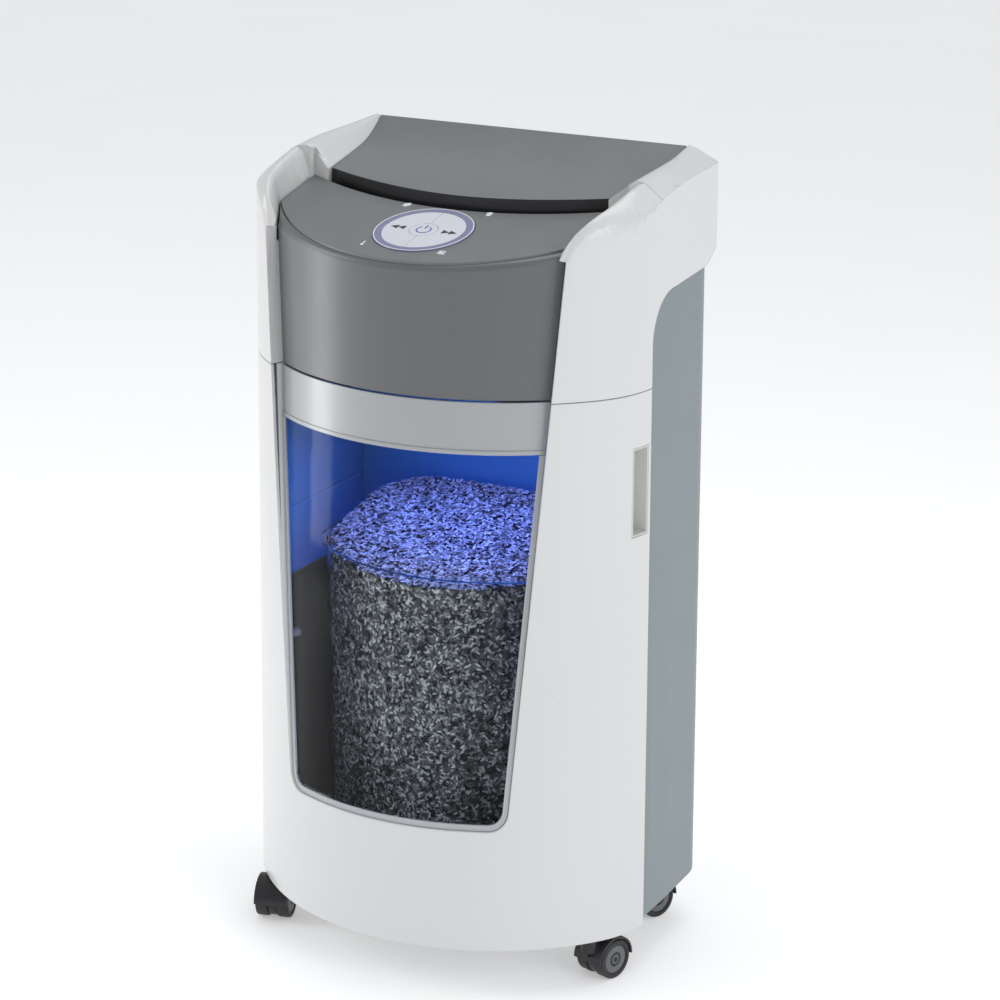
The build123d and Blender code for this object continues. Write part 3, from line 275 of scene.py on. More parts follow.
def clear_plastic(name, colour, ior, gloss=0.04, haze=0.02):
    """Thin clear sheet that lets light through to what is behind it."""
    material, tree, shader, out = blank_material(name)
    smear = noise(tree, object_coords(tree), scale=14.0, detail=4.0)
    rough = scale_from(tree, smear, low=0.35, high=0.75, to_low=gloss, to_high=gloss + haze)
    tree.links.new(rough, shader.inputs["Roughness"])
    smeared = scale_from(tree, smear, low=0.3, high=0.7)
    tint = blend_colours(tree, smeared, rgba(colour), lighter(colour, 0.97))
    tree.links.new(tint, shader.inputs["Base Color"])
    shader.inputs["IOR"].default_value = ior
    shader.inputs["Transmission Weight"].default_value = 1.0
    clear = put(tree, "BsdfTransparent", in_Color=rgba(colour))
    rays = put(tree, "LightPath")
    choose = put(tree, "MixShader", in_0=rays.outputs["Is Shadow Ray"])
    tree.links.new(shader.outputs[0], choose.inputs[1])
    tree.links.new(clear.outputs[0], choose.inputs[2])
    tree.links.new(choose.outputs[0], out.inputs[0])
    return material


def glow(name, colour, strength):
    """Lamp lens: lit all over, with a slight mottle."""
    material, tree, shader, _ = blank_material(name)
    mottle = noise(tree, object_coords(tree), scale=300.0)
    level = scale_from(tree, mottle, low=0.3, high=0.7, to_low=0.75)
    lit = blend_colours(tree, level, rgba((0.0, 0.0, 0.0)), rgba(colour))
    tree.links.new(lit, shader.inputs["Emission Color"])
    tree.links.new(lit, shader.inputs["Base Color"])
    shader.inputs["Emission Strength"].default_value = strength
    shader.inputs["Roughness"].default_value = 0.2
    return material


def paper_strips():
    """Cut paper: white, grey and printed flecks, each strip with its own tone, which holds painted light on the
    heap's top.
    """
    material, tree, shader, _ = blank_material("cut_paper")
    place = object_coords(tree)
    cells = put(tree, "TexVoronoi", in_Vector=place, in_Scale=210.0)
    tone = put(tree, "SeparateColor", in_Color=cells.outputs["Color"]).outputs[0]
    # Each strip's tone, which on the heap's top also holds painted light.
    own = put(tree, "Attribute", attribute_name="strip_tone_and_top_light").outputs["Fac"]
    own_part, fleck_part = 0.72, 0.28
    mixed = maths(tree, "MULTIPLY_ADD", own, own_part, maths(tree, "MULTIPLY", tone, fleck_part))
    ramp = put(tree, "ValToRGB", in_Fac=mixed)
    printed, plain = ramp.color_ramp.elements
    printed.position = 0.08
    printed.color = (0.004, 0.004, 0.005, 1)
    plain.position = 0.9
    plain.color = (0.72, 0.73, 0.75, 1)
    ramp.color_ramp.elements.new(0.5).color = (0.20, 0.202, 0.207, 1)
    fibres = noise(tree, place, scale=1500.0, detail=3.0)
    bump = put(tree, "Bump", in_Strength=0.6, in_Distance=0.0002, in_Height=fibres)
    tree.links.new(ramp.outputs[0], shader.inputs["Base Color"])
    tree.links.new(bump.outputs[0], shader.inputs["Normal"])
    rough = scale_from(tree, fibres, low=0.3, high=0.7, to_low=0.75, to_high=0.95)
    tree.links.new(rough, shader.inputs["Roughness"])
    return material


finishes = {
    "shell_white": plastic("white_shell_gloss", (0.69, 0.695, 0.69), gloss=0.26, gloss_spread=0.06,
                           grain=700, relief=0.000008, edge=0.0018, worn=(0.76, 0.76, 0.75), wear=0.3,
                           dust=0.03, coat=0.35, tint_spread=0.03),
    "casing_grey": plastic("casing_paint", (0.215, 0.258, 0.270), gloss=0.42, gloss_spread=0.1, grain=520,
                           relief=0.00003, edge=0.0014, wear=0.3, dust=0.05),
    "cover_grey": plastic("cover_plastic", (0.115, 0.120, 0.122), gloss=0.36, gloss_spread=0.1, grain=1400,
                          relief=0.00002, edge=0.0015, wear=0.2, dust=0.05, coat=0.6, coat_gloss=0.3),
    "deck_grey": plastic("panel_plastic", (0.165, 0.173, 0.175), gloss=0.42, gloss_spread=0.1, grain=1500,
                         relief=0.00002, edge=0.001, wear=0.2, dust=0.04, coat=0.3, coat_gloss=0.3,
                         tint_spread=0.05),
    "band_silver": plastic("silver_paint", (0.40, 0.415, 0.42), gloss=0.33, gloss_spread=0.08, grain=2600,
                           relief=0.000008, edge=0.001, wear=0.2, dust=0.04, coat=0.2, metal=0.35),
    "trim_light": plastic("trim_plastic", (0.45, 0.47, 0.48), gloss=0.3, grain=1200, relief=0.00001,
                          edge=0.0008, wear=0.2, coat=0.2),
    "pane_blue": clear_plastic("window_clear", (0.96, 0.98, 1.0), ior=1.14),
    "bin_clear": clear_plastic("bin_clear_plastic", (0.93, 0.95, 0.97), ior=1.06, gloss=0.08, haze=0.05),
    "black_plastic": plastic("black_plastic", (0.012, 0.012, 0.014), gloss=0.34, grain=1100, relief=0.00003,
                             edge=0.0009, worn=(0.05, 0.05, 0.055), dust=0.06),
    "wheel_tread": plastic("wheel_tread", (0.016, 0.016, 0.018), gloss=0.5, grain=800, relief=0.00005,
                           edge=0.0012, worn=(0.06, 0.06, 0.06), dust=0.2),
    "key_plastic": plastic("key_plastic", (0.72, 0.74, 0.80), gloss=0.22, gloss_spread=0.05, grain=2000,
                           relief=0.000005, edge=0.0006, worn=(0.8, 0.82, 0.9), dust=0.03, coat=0.5),
    "ring_plastic": plastic("ring_plastic", (0.19, 0.20, 0.36), gloss=0.2, grain=2000, relief=0.000005,
                            edge=0.0008, worn=(0.75, 0.78, 0.95), wear=0.9, dust=0.03, coat=0.5),
    "icon_white": plastic("icon_white", (0.82, 0.84, 0.88), gloss=0.3, grain=2000, relief=0.000005,
                          edge=0.0002, dust=0.0),
    "grip_beige": plastic("grip_plastic", (0.60, 0.605, 0.57), gloss=0.45, grain=900, edge=0.001,
                          dust=0.08),
    "sheet_steel": metal("sheet_steel", (0.46, 0.47, 0.48), (3.0, 700.0, 700.0)),
    # Painted light: the drawer's inner walls take the blue of the bin lamps' light as their own colour, on their
    # worn edges too.
    "inner_white": plastic("inner_wall_painted_blue_light", (0.045, 0.27, 0.66), gloss=0.5, grain=700, edge=0.001,
                           worn=(0.08, 0.33, 0.72), wear=0.2, dust=0.02),
    "tray_grey": plastic("tray_plastic", (0.16, 0.17, 0.20), gloss=0.45, grain=900, edge=0.001, dust=0.1),
    "cutter_steel": metal("cutter_steel", (0.36, 0.36, 0.37), (1200.0, 40.0, 40.0), gloss=0.28),
    "gear_steel": metal("gear_steel", (0.30, 0.30, 0.31), (900.0, 60.0, 60.0), gloss=0.36),
    "bearing_brass": metal("bearing_brass", (0.60, 0.42, 0.18), (900.0, 60.0, 60.0), gloss=0.32),
    "motor_metal": plastic("motor_paint", (0.035, 0.035, 0.04), gloss=0.4, grain=600, edge=0.0015,
                           worn=(0.3, 0.3, 0.3), wear=0.5),
    "can_aluminium": metal("can_aluminium", (0.62, 0.62, 0.63), (60.0, 60.0, 900.0), gloss=0.34),
    "board_green": plastic("board_lacquer", (0.02, 0.14, 0.06), gloss=0.3, grain=300, edge=0.0004,
                           dust=0.1),
    "paper": paper_strips(),
    "lamp_blue": glow("lamp_blue", (0.10, 0.35, 1.0), 0.8),
    "symbol_black": plastic("symbol_ink", (0.02, 0.02, 0.028), gloss=0.35, grain=2000, relief=0.000002,
                            edge=0.0001, dust=0.0),
    "symbol_violet": plastic("symbol_violet_ink", (0.17, 0.17, 0.42), gloss=0.35, grain=2000,
                             relief=0.000002, edge=0.0001, dust=0.0),
    "hub_grey": plastic("hub_plastic", (0.12, 0.125, 0.13), gloss=0.4, grain=1000, edge=0.0008, dust=0.12),
    "dark_liner": plastic("liner_plastic", (0.008, 0.011, 0.015), gloss=0.4, grain=800, edge=0.0008,
                          dust=0.05),
}


# ---------------------------------------------------------------- modelling helpers
# Points closer than these distances are one. The angles between faces are in degrees.
doubles = 0.000002
cad_doubles = 0.00001
flat_within = 0.5
smooth_within = 32.0
rounded_from = 40.0
facing_least = 0.9


def deselect():
    """Leaves object mode with nothing selected."""
    if bpy.context.object and bpy.context.object.mode != "OBJECT":
        bpy.ops.object.mode_set(mode="OBJECT")
    bpy.ops.object.select_all(action="DESELECT")


def take(piece):
    """Makes one piece the whole selection."""
    deselect()
    piece.select_set(True)
    bpy.context.view_layer.objects.active = piece


def dress(piece, slot_name, body, finish=None):
    """Gives a piece its finish, which is its record slot's unless another is named, and the body it rides on."""
    piece.data.materials.clear()
    piece.data.materials.append(finishes[finish or slot_name])
    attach(piece, body)
    return piece


def repaint(piece, finish, wanted):
    """Gives the faces that a test picks a second finish."""
    piece.data.materials.append(finishes[finish])
    for face in piece.data.polygons:
        if wanted(face.center, face.normal):
            face.material_index = len(piece.data.materials) - 1


def edit(piece, elements="FACE"):
    """Opens a piece for shaping with nothing selected."""
    take(piece)
    bpy.ops.object.mode_set(mode="EDIT")
    bpy.ops.mesh.select_mode(type=elements)
    bpy.ops.mesh.select_all(action="DESELECT")
    return bmesh.from_edit_mesh(piece.data)


def pick(mesh, test):
    """Selects the faces that a test picks."""
    for face in mesh.faces:
        face.select = test(face)
    mesh.select_flush(True)


def pick_facing(mesh, direction):
    """Selects the faces that look along a direction."""
    pick(mesh, lambda face: face.normal.dot(Vector(direction)) > facing_least)


def step_in(*steps):
    """Insets the selected faces step by step, each by a border and a rise."""
    for border, rise in steps:
        bpy.ops.mesh.inset(thickness=border, depth=rise)


def close_edit(piece):
    """Closes a piece after shaping, with its doubles merged and its faces outwards."""
    bpy.ops.mesh.select_all(action="SELECT")
    bpy.ops.mesh.remove_doubles(threshold=doubles)
    bpy.ops.mesh.normals_make_consistent(inside=False)
    bpy.ops.object.mode_set(mode="OBJECT")
    return piece


def set_in_place(piece, place):
    """Moves a piece modelled about the origin to its place, with the place in its mesh."""
    piece.data.transform(place)
    piece.data.update()
    return piece


def copy_of(pattern, name):
    """A copy of a piece with its own mesh."""
    piece = bpy.data.objects.new(name, pattern.data.copy())
    bpy.context.scene.collection.objects.link(piece)
    return piece


def discard(pattern):
    """Removes a pattern that its copies have replaced."""
    mesh = pattern.data
    bpy.data.objects.remove(pattern)
    bpy.data.meshes.remove(mesh)


def round_edges(piece, width):
    """Rounds a piece's sharp edges in its mesh."""
    take(piece)
    rounding = piece.modifiers.new("rounding", "BEVEL")
    rounding.width = width
    rounding.segments = 2
    rounding.limit_method = "ANGLE"
    rounding.angle_limit = math.radians(rounded_from)
    rounding.use_clamp_overlap = True
    rounding.miter_outer = "MITER_ARC"
    bpy.ops.object.modifier_apply(modifier="rounding")


def join(pieces, name):
    """Makes one piece of several."""
    deselect()
    for piece in pieces:
        piece.select_set(True)
    bpy.context.view_layer.objects.active = pieces[0]
    bpy.ops.object.join()
    whole = bpy.context.object
    whole.name = name
    return whole


def shape(kind, name, **settings):
    """A new primitive, alone in the selection."""
    deselect()
    getattr(bpy.ops.mesh, "primitive_" + kind + "_add")(**settings)
    piece = bpy.context.object
    piece.name = name
    bpy.ops.object.transform_apply(location=True, rotation=True, scale=True)
    return piece


def smooth(piece, degrees=smooth_within):
    """Shades a piece smooth, apart from edges sharper than an angle."""
    take(piece)
    bpy.ops.object.shade_smooth_by_angle(angle=math.radians(degrees))


def even_shading(piece):
    """Lets the broad faces set the shading, so that flats stay flat beside rounded edges."""
    take(piece)
    weighting = piece.modifiers.new("weighting", "WEIGHTED_NORMAL")
    weighting.keep_sharp = True
    weighting.weight = 60
    bpy.ops.object.modifier_apply(modifier="weighting")


# ---------------------------------------------------------------- CAD pieces, welded and finished
# Radius of the rounded edges, finish instead of the slot's own, and angle that stays smooth.
edge_rounding = {"silver_band": 0.0004, "window_trim": 0.0004, "grip_cups": 0.0003,
                 "side_panel_left": 0.0005, "side_panel_right": 0.0005, "back_panel": 0.0003,
                 "drawer_front": 0.0004, "head_front_cover": 0.0003, "control_panel": 0.0003,
                 "rear_deck": 0.0004}
edge_rounding.update({"caster_fork_" + position: 0.0003 for position in casters})
own_finish = {"drawer_tray": "tray_grey", "bay_rear_frame": "tray_grey"}
own_smoothing = {"rear_deck": 18.0, "drawer_front": 20.0}
remodelled = ("indicator_lenses",)


def finished_copy(node):
    """A welded, smooth-shaded copy of a CAD node, with its outer edges rounded, that stands for it."""
    piece = copy_of(nodes[node], node + "_finished")
    take(piece)
    bpy.ops.object.mode_set(mode="EDIT")
    bpy.ops.mesh.select_all(action="SELECT")
    bpy.ops.mesh.remove_doubles(threshold=cad_doubles)
    bpy.ops.mesh.dissolve_limited(angle_limit=math.radians(flat_within))
    bpy.ops.object.mode_set(mode="OBJECT")
    if node in edge_rounding:
        round_edges(piece, edge_rounding[node])
    smooth(piece, own_smoothing.get(node, smooth_within))
    even_shading(piece)
    dress(piece, slot_of[node], body_of_node[node], own_finish.get(node))
    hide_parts(node)
    return piece


shells = {node: finished_copy(node) for node in nodes if node not in remodelled}


# ---------------------------------------------------------------- rear deck and drawer walls
deck_low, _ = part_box("rear_deck")
deck_front_depth = 0.07


def on_deck_front(at, facing):
    """The deck's upright bowed front, over the feed slot."""
    return facing.y < -0.3 and abs(facing.z) < 0.6 and at.y < deck_low.y + deck_front_depth


def on_outer_side(at, facing):
    """The face of either side wall that looks away from the drawer."""
    return facing.x * at.x > 0.5 * abs(at.x)


repaint(shells["rear_deck"], "black_plastic", on_deck_front)
repaint(shells["drawer_sides"], "tray_grey", on_outer_side)
repaint(shells["drawer_back"], "tray_grey", lambda at, facing: facing.y > 0.5)


def wall_liner(side):
    """Dark lower lining of the drawer's inner wall, with a sunk field inside a border."""
    inner, outer = 0.1685, 0.1709
    front, rear = -0.048, 0.120
    foot, top = 0.064, 0.335
    border, slope, sunk = 0.007, 0.0012, 0.0008
    liner = shape("cube", "wall_liner_" + ("left" if side < 0 else "right"), size=1,
                  location=(side * (inner + outer) / 2, (front + rear) / 2, (foot + top) / 2),
                  scale=(outer - inner, rear - front, top - foot))
    pick_facing(edit(liner), (-side, 0, 0))
    step_in((border, 0), (slope, -sunk))
    close_edit(liner)
    round_edges(liner, 0.0006)
    smooth(liner)
    return dress(liner, "inner_white", "drawer", "dark_liner")


for side in (-1, 1):
    wall_liner(side)


def wall_clip():
    """Small spring clip that locates the bin, on the left inner wall."""
    clip_thick, clip_long, clip_high, spring_reach = 0.003, 0.012, 0.008, 0.003
    clip = shape("cube", "wall_clip", size=1, location=(-0.1675, -0.020, 0.275),
                 scale=(clip_thick, clip_long, clip_high))
    pick_facing(edit(clip), (1, 0, 0))
    step_in((0.0018, 0))
    bpy.ops.mesh.extrude_region_move(TRANSFORM_OT_translate={"value": (spring_reach, 0, 0)})
    close_edit(clip)
    round_edges(clip, 0.0005)
    smooth(clip)
    return dress(clip, "inner_white", "drawer", "trim_light")


wall_clip()


# ---------------------------------------------------------------- key disc
panel_normal = Vector([-part for part in joints["power_key_press"]["axis"]]).normalized()
panel_across = Vector((1, 0, 0))
panel_up = panel_normal.cross(panel_across)
panel_turn = Matrix((panel_across, panel_up, panel_normal)).transposed().to_4x4()
# Thickness of the signs on the keys, and how far an outer key's sign lies from the middle.
ink = 0.00025
key_offset = 0.0245


def highest(node):
    """Height of a node's top, measured square to the panel."""
    return max(point.co.dot(panel_normal) for point in nodes[node].data.vertices)


def on_panel(node, x, up, lift=0.0):
    """Frame on top of a piece of the sloping panel: x across, up the slope, from the disc's middle."""
    middle = Vector(joints["power_key_press"]["pos_m"])
    middle += panel_normal * (highest(node) + lift - middle.dot(panel_normal))
    place = middle + panel_across * x + panel_up * up
    return Matrix.Translation(place) @ panel_turn


def arrow_head():
    """Triangle that points along +X, with a stepped upper edge."""
    head_radius, longer, narrower = 0.0045, 1.05, 0.92
    head = shape("cylinder", "arrow_head", vertices=3, radius=head_radius, depth=ink,
                 rotation=(0, 0, math.radians(-90)))
    head.data.transform(Matrix.Diagonal((longer, narrower, 1, 1)))
    pick_facing(edit(head), (0, 0, 1))
    step_in((0.0003, ink * 0.4))
    return close_edit(head)


def double_arrow(pattern, way, side):
    """Two arrow heads in a row on a key, pointing away from the disc's middle."""
    head_gap = 0.0036
    heads = [set_in_place(copy_of(pattern, "arrow_head_copy"), Matrix.Translation((shift, 0, 0)))
             for shift in (-head_gap, head_gap)]
    whole = join(heads, "arrows_" + way)
    if side < 0:
        whole.data.transform(Matrix.Rotation(math.pi, 4, "Z"))
    set_in_place(whole, on_panel("key_" + way, side * key_offset, 0.0, lift=ink * 0.3))
    return dress(whole, "black_plastic", "key_" + way + "_body", "symbol_black")


head_pattern = arrow_head()
double_arrow(head_pattern, "reverse", -1)
double_arrow(head_pattern, "forward", 1)
discard(head_pattern)


def power_symbol():
    """Open circle with an upright bar in its gap, which is given as half its angle in radians."""
    loop_radius, wire, half_gap, flattened = 0.0066, 0.00072, 0.62, 0.3
    bar_wide, bar_long, bar_thick, bar_up = 0.0014, 0.0064, 0.0004, 0.0058

    def in_gap(face):
        """Whether a face of the loop lies in its gap, at the top."""
        centre = face.calc_center_median()
        return abs(math.atan2(centre.x, centre.y)) < half_gap

    loop = shape("torus", "power_loop", major_segments=48, minor_segments=10, major_radius=loop_radius,
                 minor_radius=wire)
    pick(edit(loop), in_gap)
    bpy.ops.mesh.delete(type="FACE")
    mesh = bmesh.from_edit_mesh(loop.data)
    for boundary in mesh.edges:
        boundary.select = boundary.is_boundary
    bpy.ops.mesh.select_mode(type="EDGE")
    bpy.ops.mesh.edge_face_add()
    close_edit(loop)
    loop.data.transform(Matrix.Diagonal((1, 1, flattened, 1)))
    bar = shape("cube", "power_bar", size=1, location=(0, bar_up, 0), scale=(bar_wide, bar_long, bar_thick))
    pick_facing(edit(bar), (0, 0, 1))
    step_in((0.0002, 0.00005))
    close_edit(bar)
    whole = join([loop, bar], "power_symbol")
    set_in_place(whole, on_panel("key_power", 0.0, 0.0, lift=0.0001))
    smooth(whole)
    return dress(whole, "black_plastic", "key_power_body", "symbol_violet")


power_symbol()


def bright_ring():
    """Thin bright line that edges the disc, flatter below."""
    line_radius, line_thick, foot_cut, flattened = 0.0446, 0.0005, 0.0002, 0.5
    ring = shape("torus", "disc_edge_line", major_segments=96, minor_segments=10,
                 major_radius=line_radius, minor_radius=line_thick)
    pick(edit(ring), lambda face: face.calc_center_median().z < -foot_cut)
    bpy.ops.transform.translate(value=(0, 0, foot_cut))
    close_edit(ring)
    ring.data.transform(Matrix.Diagonal((1, 1, flattened, 1)))
    set_in_place(ring, on_panel("disc_ring", 0.0, 0.0))
    smooth(ring)
    return dress(ring, "icon_white", "cabinet")


bright_ring()


# ---------------------------------------------------------------- indicator marks
def lens_place(number):
    """Middle of one indicator lens on the panel, from its node; the lenses lie well apart."""
    lens_reach = 0.012
    points = [point.co.copy() for point in nodes["indicator_lenses"].data.vertices]
    points.sort(key=lambda point: (point.x, point.y))
    lenses = []
    for point in points:
        home = next((lens for lens in lenses if (lens[0] - point).length < lens_reach), None)
        if home is None:
            lenses.append([point])
        else:
            home.append(point)
    lenses.sort(key=lambda lens: (round(sum(point.y for point in lens) / len(lens), 3), lens[0].x))
    lens = lenses[number]
    low = Vector([min(point[i] for point in lens) for i in range(3)])
    high = Vector([max(point[i] for point in lens) for i in range(3)])
    return Matrix.Translation((low + high) / 2) @ panel_turn


def tablet(name, width, height, x=0.0, y=0.0, thick=0.0005):
    """Small raised tablet with a sloped rim, about a place on a mark."""
    rim_share, rise_share = 0.14, 0.25
    piece = shape("cube", name, size=1, location=(x, y, 0), scale=(width, height, thick))
    pick_facing(edit(piece), (0, 0, 1))
    step_in((min(width, height) * rim_share, thick * rise_share))
    return close_edit(piece)


def sheets_mark():
    """Two overlapping sheets: the feed is overfilled."""
    sheet_wide, sheet_high, shift = 0.0044, 0.0056, 0.0009
    back = tablet("sheet_behind", sheet_wide, sheet_high, x=shift, y=shift, thick=0.0004)
    front = tablet("sheet_before", sheet_wide, sheet_high, x=-shift, y=-shift, thick=0.0008)
    return join([back, front], "mark_sheets")


def bin_mark():
    """A bin with a lid: the bin is full."""
    foot_below, foot_narrowing = -0.002, 0.78
    lid = tablet("bin_lid", 0.0062, 0.0010, y=0.0027)
    knob = tablet("bin_knob", 0.0022, 0.0008, y=0.0037)
    body = tablet("bin_body", 0.0048, 0.0052, y=-0.0008)
    mesh = edit(body, "VERT")
    for corner in mesh.verts:
        if corner.co.y < foot_below:
            corner.co.x *= foot_narrowing
    close_edit(body)
    return join([lid, knob, body], "mark_bin")


def heat_mark():
    """A thermometer: the motor is hot."""
    stem = tablet("heat_stem", 0.0012, 0.0064, y=0.0008)
    bulb = shape("cylinder", "heat_bulb", vertices=24, radius=0.0016, depth=0.0005,
                 location=(0, -0.0029, 0))
    pick_facing(edit(bulb), (0, 0, 1))
    step_in((0.0004, 0.00012))
    close_edit(bulb)
    return join([stem, bulb], "mark_heat")


def door_mark():
    """An open frame with a step: the drawer is open."""
    bar = 0.0009
    bars = [tablet("door_left", bar, 0.0062, x=-0.0030),
            tablet("door_right", bar, 0.0054, x=0.0022, y=-0.0004),
            tablet("door_top", 0.0060, bar, x=-0.0004, y=0.0027),
            tablet("door_foot", 0.0068, bar, y=-0.0030),
            tablet("door_leaf", 0.0030, 0.0036, x=-0.0006, y=-0.0006, thick=0.0007)]
    return join(bars, "mark_door")


for number, make_mark in enumerate((heat_mark, door_mark, sheets_mark, bin_mark)):
    mark = make_mark()
    set_in_place(mark, lens_place(number))
    dress(mark, "icon_white", "cabinet")
    if number == 0:
        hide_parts("indicator_lenses")


# ---------------------------------------------------------------- casters
cap_sink = 0.0019


def hub_cap():
    """Cap for a caster wheel's dish, stepped from its rim over a dome and a groove to its button."""
    rim, dome, groove_wall, groove, button = (
        (0.0016, 0.0004), (0.0050, 0.0002), (0.0008, -0.0006), (0.0020, 0.0), (0.0006, 0.0007))
    cap = shape("cylinder", "hub_cap", vertices=48, radius=0.0142, depth=0.0016)
    pick_facing(edit(cap), (0, 0, 1))
    step_in(rim, dome, groove_wall, groove, button)
    return close_edit(cap)


def fit_hub_cap(pattern, position, outward):
    """Puts a copy of the cap in the dish of one of a caster's two wheels."""
    roll = joints["roll_" + position]
    axle = Vector(roll["axis"]).normalized() * outward
    centre = Vector(roll["pos_m"])
    wheels = nodes["caster_wheels_" + position].data.vertices
    wheel_face = max((point.co - centre).dot(axle) for point in wheels)
    across = axle.cross(Vector((0, 0, 1))).normalized()
    turn = Matrix((across, axle.cross(across), axle)).transposed().to_4x4()
    cap = copy_of(pattern, "hub_cap_" + position + ("_out" if outward > 0 else "_in"))
    set_in_place(cap, Matrix.Translation(centre + axle * (wheel_face - cap_sink)) @ turn)
    smooth(cap)
    return dress(cap, "black_plastic", "wheels_" + position, "hub_grey")


cap_pattern = hub_cap()
for position in casters:
    for outward in (-1, 1):
        fit_hub_cap(cap_pattern, position, outward)
discard(cap_pattern)


# ---------------------------------------------------------------- cut paper
# Half sizes of a strip, how it lies on the heap's top and on its walls, and how the fill makes room.
strip_count = 31000
half_length = (0.0014, 0.0029)
half_width = (0.0007, 0.0011)
strip_rise = (0.0002, 0.0011)
heap_rise = 0.0016
most_curl = 0.0004
strip_depth = 0.0009
heap_tilt, wall_tilt = 0.22, 0.10
heap_reach, wall_reach = 0.0060, 0.0013
fill_shrink = 0.0016
rear_share = 0.25
points_per_strip = 5
# Lowest tone of a strip on the heap's top: painted light, which makes the top of the heap lighter than its walls.
painted_light_top_darkest = 0.42


def scaled(directions, amounts):
    """Each direction times its own amount."""
    return directions * amounts[:, None]


def fill_triangles():
    """Corners of the fill's triangles, after its surface is drawn in to make room for the strips."""
    fill = shells["paper_shreds"]
    take(fill)
    bpy.ops.object.mode_set(mode="EDIT")
    bpy.ops.mesh.select_all(action="SELECT")
    bpy.ops.transform.shrink_fatten(value=-fill_shrink)
    bpy.ops.object.mode_set(mode="OBJECT")
    fill.data.calc_loop_triangles()
    points = fill.data.vertices
    return np.array([[points[i].co for i in face.vertices] for face in fill.data.loop_triangles], float)


def scatter(chance):
    """Random places on the fill, none below and few at the rear, and the way each place faces."""
    corners = fill_triangles()
    side_a = corners[:, 1] - corners[:, 0]
    side_b = corners[:, 2] - corners[:, 0]
    normal = np.cross(side_a, side_b)
    area = np.linalg.norm(normal, axis=1) / 2
    no_area = 1e-12
    normal = normal / np.maximum(2 * area, no_area)[:, None]
    not_below = np.where(normal[:, 2] < -0.5, 0.0, 1.0)
    share = area * not_below * np.where(normal[:, 1] > 0.5, rear_share, 1.0)
    chosen = chance.choice(len(area), size=strip_count, p=share / share.sum())
    part_a = chance.random(strip_count)
    part_b = chance.random(strip_count)
    outside = part_a + part_b > 1
    part_a[outside] = 1 - part_a[outside]
    part_b[outside] = 1 - part_b[outside]
    spot = corners[chosen, 0] + scaled(side_a[chosen], part_a) + scaled(side_b[chosen], part_b)
    return spot, normal[chosen]


def strip_points(chance, spot, out, on_top):
    """Each strip's four corners, tilted and curled, and the point under its middle that closes it."""
    no_face_this_way = (0.3, 0.2, 1.0)
    aside = np.cross(out, np.tile(no_face_this_way, (strip_count, 1)))
    aside /= np.linalg.norm(aside, axis=1)[:, None]
    angle = chance.random(strip_count) * math.tau
    along = scaled(aside, np.cos(angle)) + scaled(np.cross(out, aside), np.sin(angle))
    across = np.cross(out, along)
    tilt = chance.normal(0, 1, strip_count) * np.where(on_top, heap_tilt, wall_tilt)
    along = scaled(along, np.cos(tilt)) + scaled(out, np.sin(tilt))
    length = chance.uniform(*half_length, strip_count)
    width = chance.uniform(*half_width, strip_count)
    rise = chance.uniform(*strip_rise, strip_count)
    rise = rise + np.where(on_top, chance.uniform(0, heap_rise, strip_count), 0)
    middle = spot + scaled(out, rise)
    curl = chance.uniform(-most_curl, most_curl, strip_count)
    points = []
    for end, edge in ((-1, -1), (1, -1), (1, 1), (-1, 1)):
        flat = middle + scaled(along, end * length) + scaled(across, edge * width)
        points.append(flat + scaled(out, end * edge * curl))
    points.append(middle - out * strip_depth)
    points = np.stack(points, axis=1)
    reach = ((points - spot[:, None, :]) * out[:, None, :]).sum(axis=2, keepdims=True)
    limit = np.where(on_top, heap_reach, wall_reach)[:, None, None]
    return points - out[:, None, :] * np.maximum(reach - limit, 0)


def cut_paper():
    """Thousands of short strips laid at random over the fill of the bin."""
    chance = np.random.default_rng(47)
    spot, out = scatter(chance)
    on_top = out[:, 2] > 0.5
    points = strip_points(chance, spot, out, on_top)
    first = np.arange(strip_count)[:, None] * points_per_strip
    tops = (first + np.array((0, 1, 2, 3))).tolist()
    side_loops = ((1, 0, 4), (2, 1, 4), (3, 2, 4), (0, 3, 4))
    sides = np.concatenate([first + np.array(loop) for loop in side_loops])
    strips = bpy.data.meshes.new("cut_strips")
    strips.from_pydata(points.reshape(-1, 3).tolist(), [], tops + sides.tolist())
    tone = chance.beta(0.75, 1.05, strip_count)
    # Strips on the heap's top keep to the lighter tones: painted light on the top of the heap.
    tone = np.where(on_top, painted_light_top_darkest + (1 - painted_light_top_darkest) * tone, tone)
    shade = strips.attributes.new("strip_tone_and_top_light", "FLOAT", "POINT")
    shade.data.foreach_set("value", np.repeat(tone, points_per_strip).astype(np.float32))
    piece = bpy.data.objects.new("cut_strips", strips)
    bpy.context.scene.collection.objects.link(piece)
    return dress(piece, "paper", "drawer")


cut_paper()


# ---------------------------------------------------------------- studio
floor_glow = 0.34
light_from_around, seen_around = 0.52, 0.96


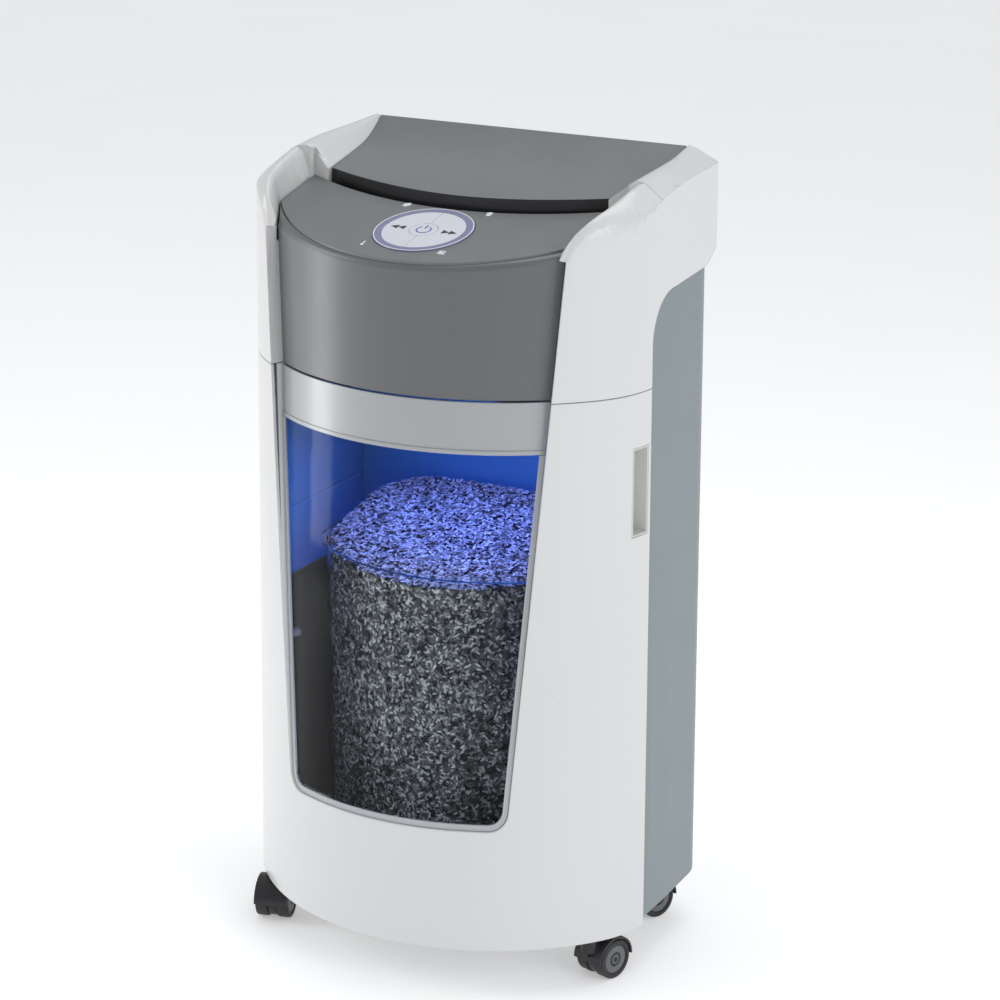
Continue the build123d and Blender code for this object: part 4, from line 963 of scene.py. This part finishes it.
def studio():
    """Wide pale floor, and soft light from all around that looks brighter than it lights."""
    floor = shape("plane", "studio_floor", size=30)
    material, tree, shader, _ = blank_material("pale_floor")
    clouds = noise(tree, object_coords(tree), scale=3.0, detail=3.0)
    mottle = scale_from(tree, clouds, low=0.3, high=0.7)
    tone = blend_colours(tree, mottle, rgba((0.90, 0.90, 0.905)), rgba((0.92, 0.92, 0.92)))
    tree.links.new(tone, shader.inputs["Base Color"])
    shader.inputs["Roughness"].default_value = 0.7
    shader.inputs["Emission Color"].default_value = (1.0, 1.0, 1.0, 1)
    shader.inputs["Emission Strength"].default_value = floor_glow
    floor.data.materials.append(material)
    world = bpy.data.worlds.new("studio_world")
    bpy.context.scene.world = world
    world.use_nodes = True
    background = world.node_tree.nodes["Background"]
    background.inputs[0].default_value = (0.95, 0.97, 1.0, 1)
    sees = put(world.node_tree, "LightPath").outputs["Is Camera Ray"]
    strength = scale_from(world.node_tree, sees, low=0.0, high=1.0, to_low=light_from_around,
                          to_high=seen_around)
    world.node_tree.links.new(strength, background.inputs[1])


def area_light(name, place, target, width, power, colour=(1, 1, 1), height=None):
    """Soft light that faces its target, square where no height is given."""
    light = bpy.data.lights.new(name, "AREA")
    light.energy = power
    light.color = colour
    light.shape = "RECTANGLE"
    light.size = width
    light.size_y = height or width
    lamp = bpy.data.objects.new(name, light)
    bpy.context.scene.collection.objects.link(lamp)
    lamp.location = place
    lamp.rotation_euler = (Vector(target) - Vector(place)).to_track_quat("-Z", "Y").to_euler()
    return lamp


def camera():
    """Long lens above the front right, turned slightly about its own line of sight."""
    data = bpy.data.cameras.new("view_camera")
    data.sensor_width = 36.0
    data.lens = 108.7
    data.clip_end = 60.0
    eye = Vector((1.2365, -2.3819, 1.2650))
    target = Vector((0.0, 0.085, 0.4056))
    roll = Matrix.Rotation(math.radians(0.66), 3, "Z")
    view = bpy.data.objects.new("view_camera", data)
    bpy.context.scene.collection.objects.link(view)
    turn = (target - eye).to_track_quat("-Z", "Y").to_matrix() @ roll
    view.matrix_world = Matrix.Translation(eye) @ turn.to_4x4()
    bpy.context.scene.camera = view


bpy.context.scene.view_settings.view_transform = "Standard"
studio()
area_light("key_light", place=(-2.9, -1.2, 1.9), target=(0, 0, 0.5), width=1.4, power=20,
           colour=(1.0, 0.995, 0.985))
area_light("fill_light", place=(2.8, -1.0, 1.6), target=(0, 0, 0.4), width=1.8, power=26,
           colour=(0.98, 0.99, 1.0))
area_light("top_light", place=(0.2, 0.6, 2.6), target=(0, 0, 0.7), width=1.6, power=14)
side_softbox = area_light("side_softbox", place=(-1.25, -0.55, 0.42), target=(0, -0.1, 0.5), width=0.35,
                          power=2.6, height=0.75)
side_softbox.visible_camera = False
bin_glow = area_light("bin_glow", place=(0, 0.0, 0.552), target=(0, 0.001, 0.0), width=0.22, power=0.46,
                      colour=(0.16, 0.24, 1.0), height=0.14)
bin_glow.data.spread = math.radians(95)
bin_glow.visible_camera = False
bin_glow.visible_glossy = False
bin_glow.visible_transmission = False
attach(bin_glow, "cabinet")
camera()
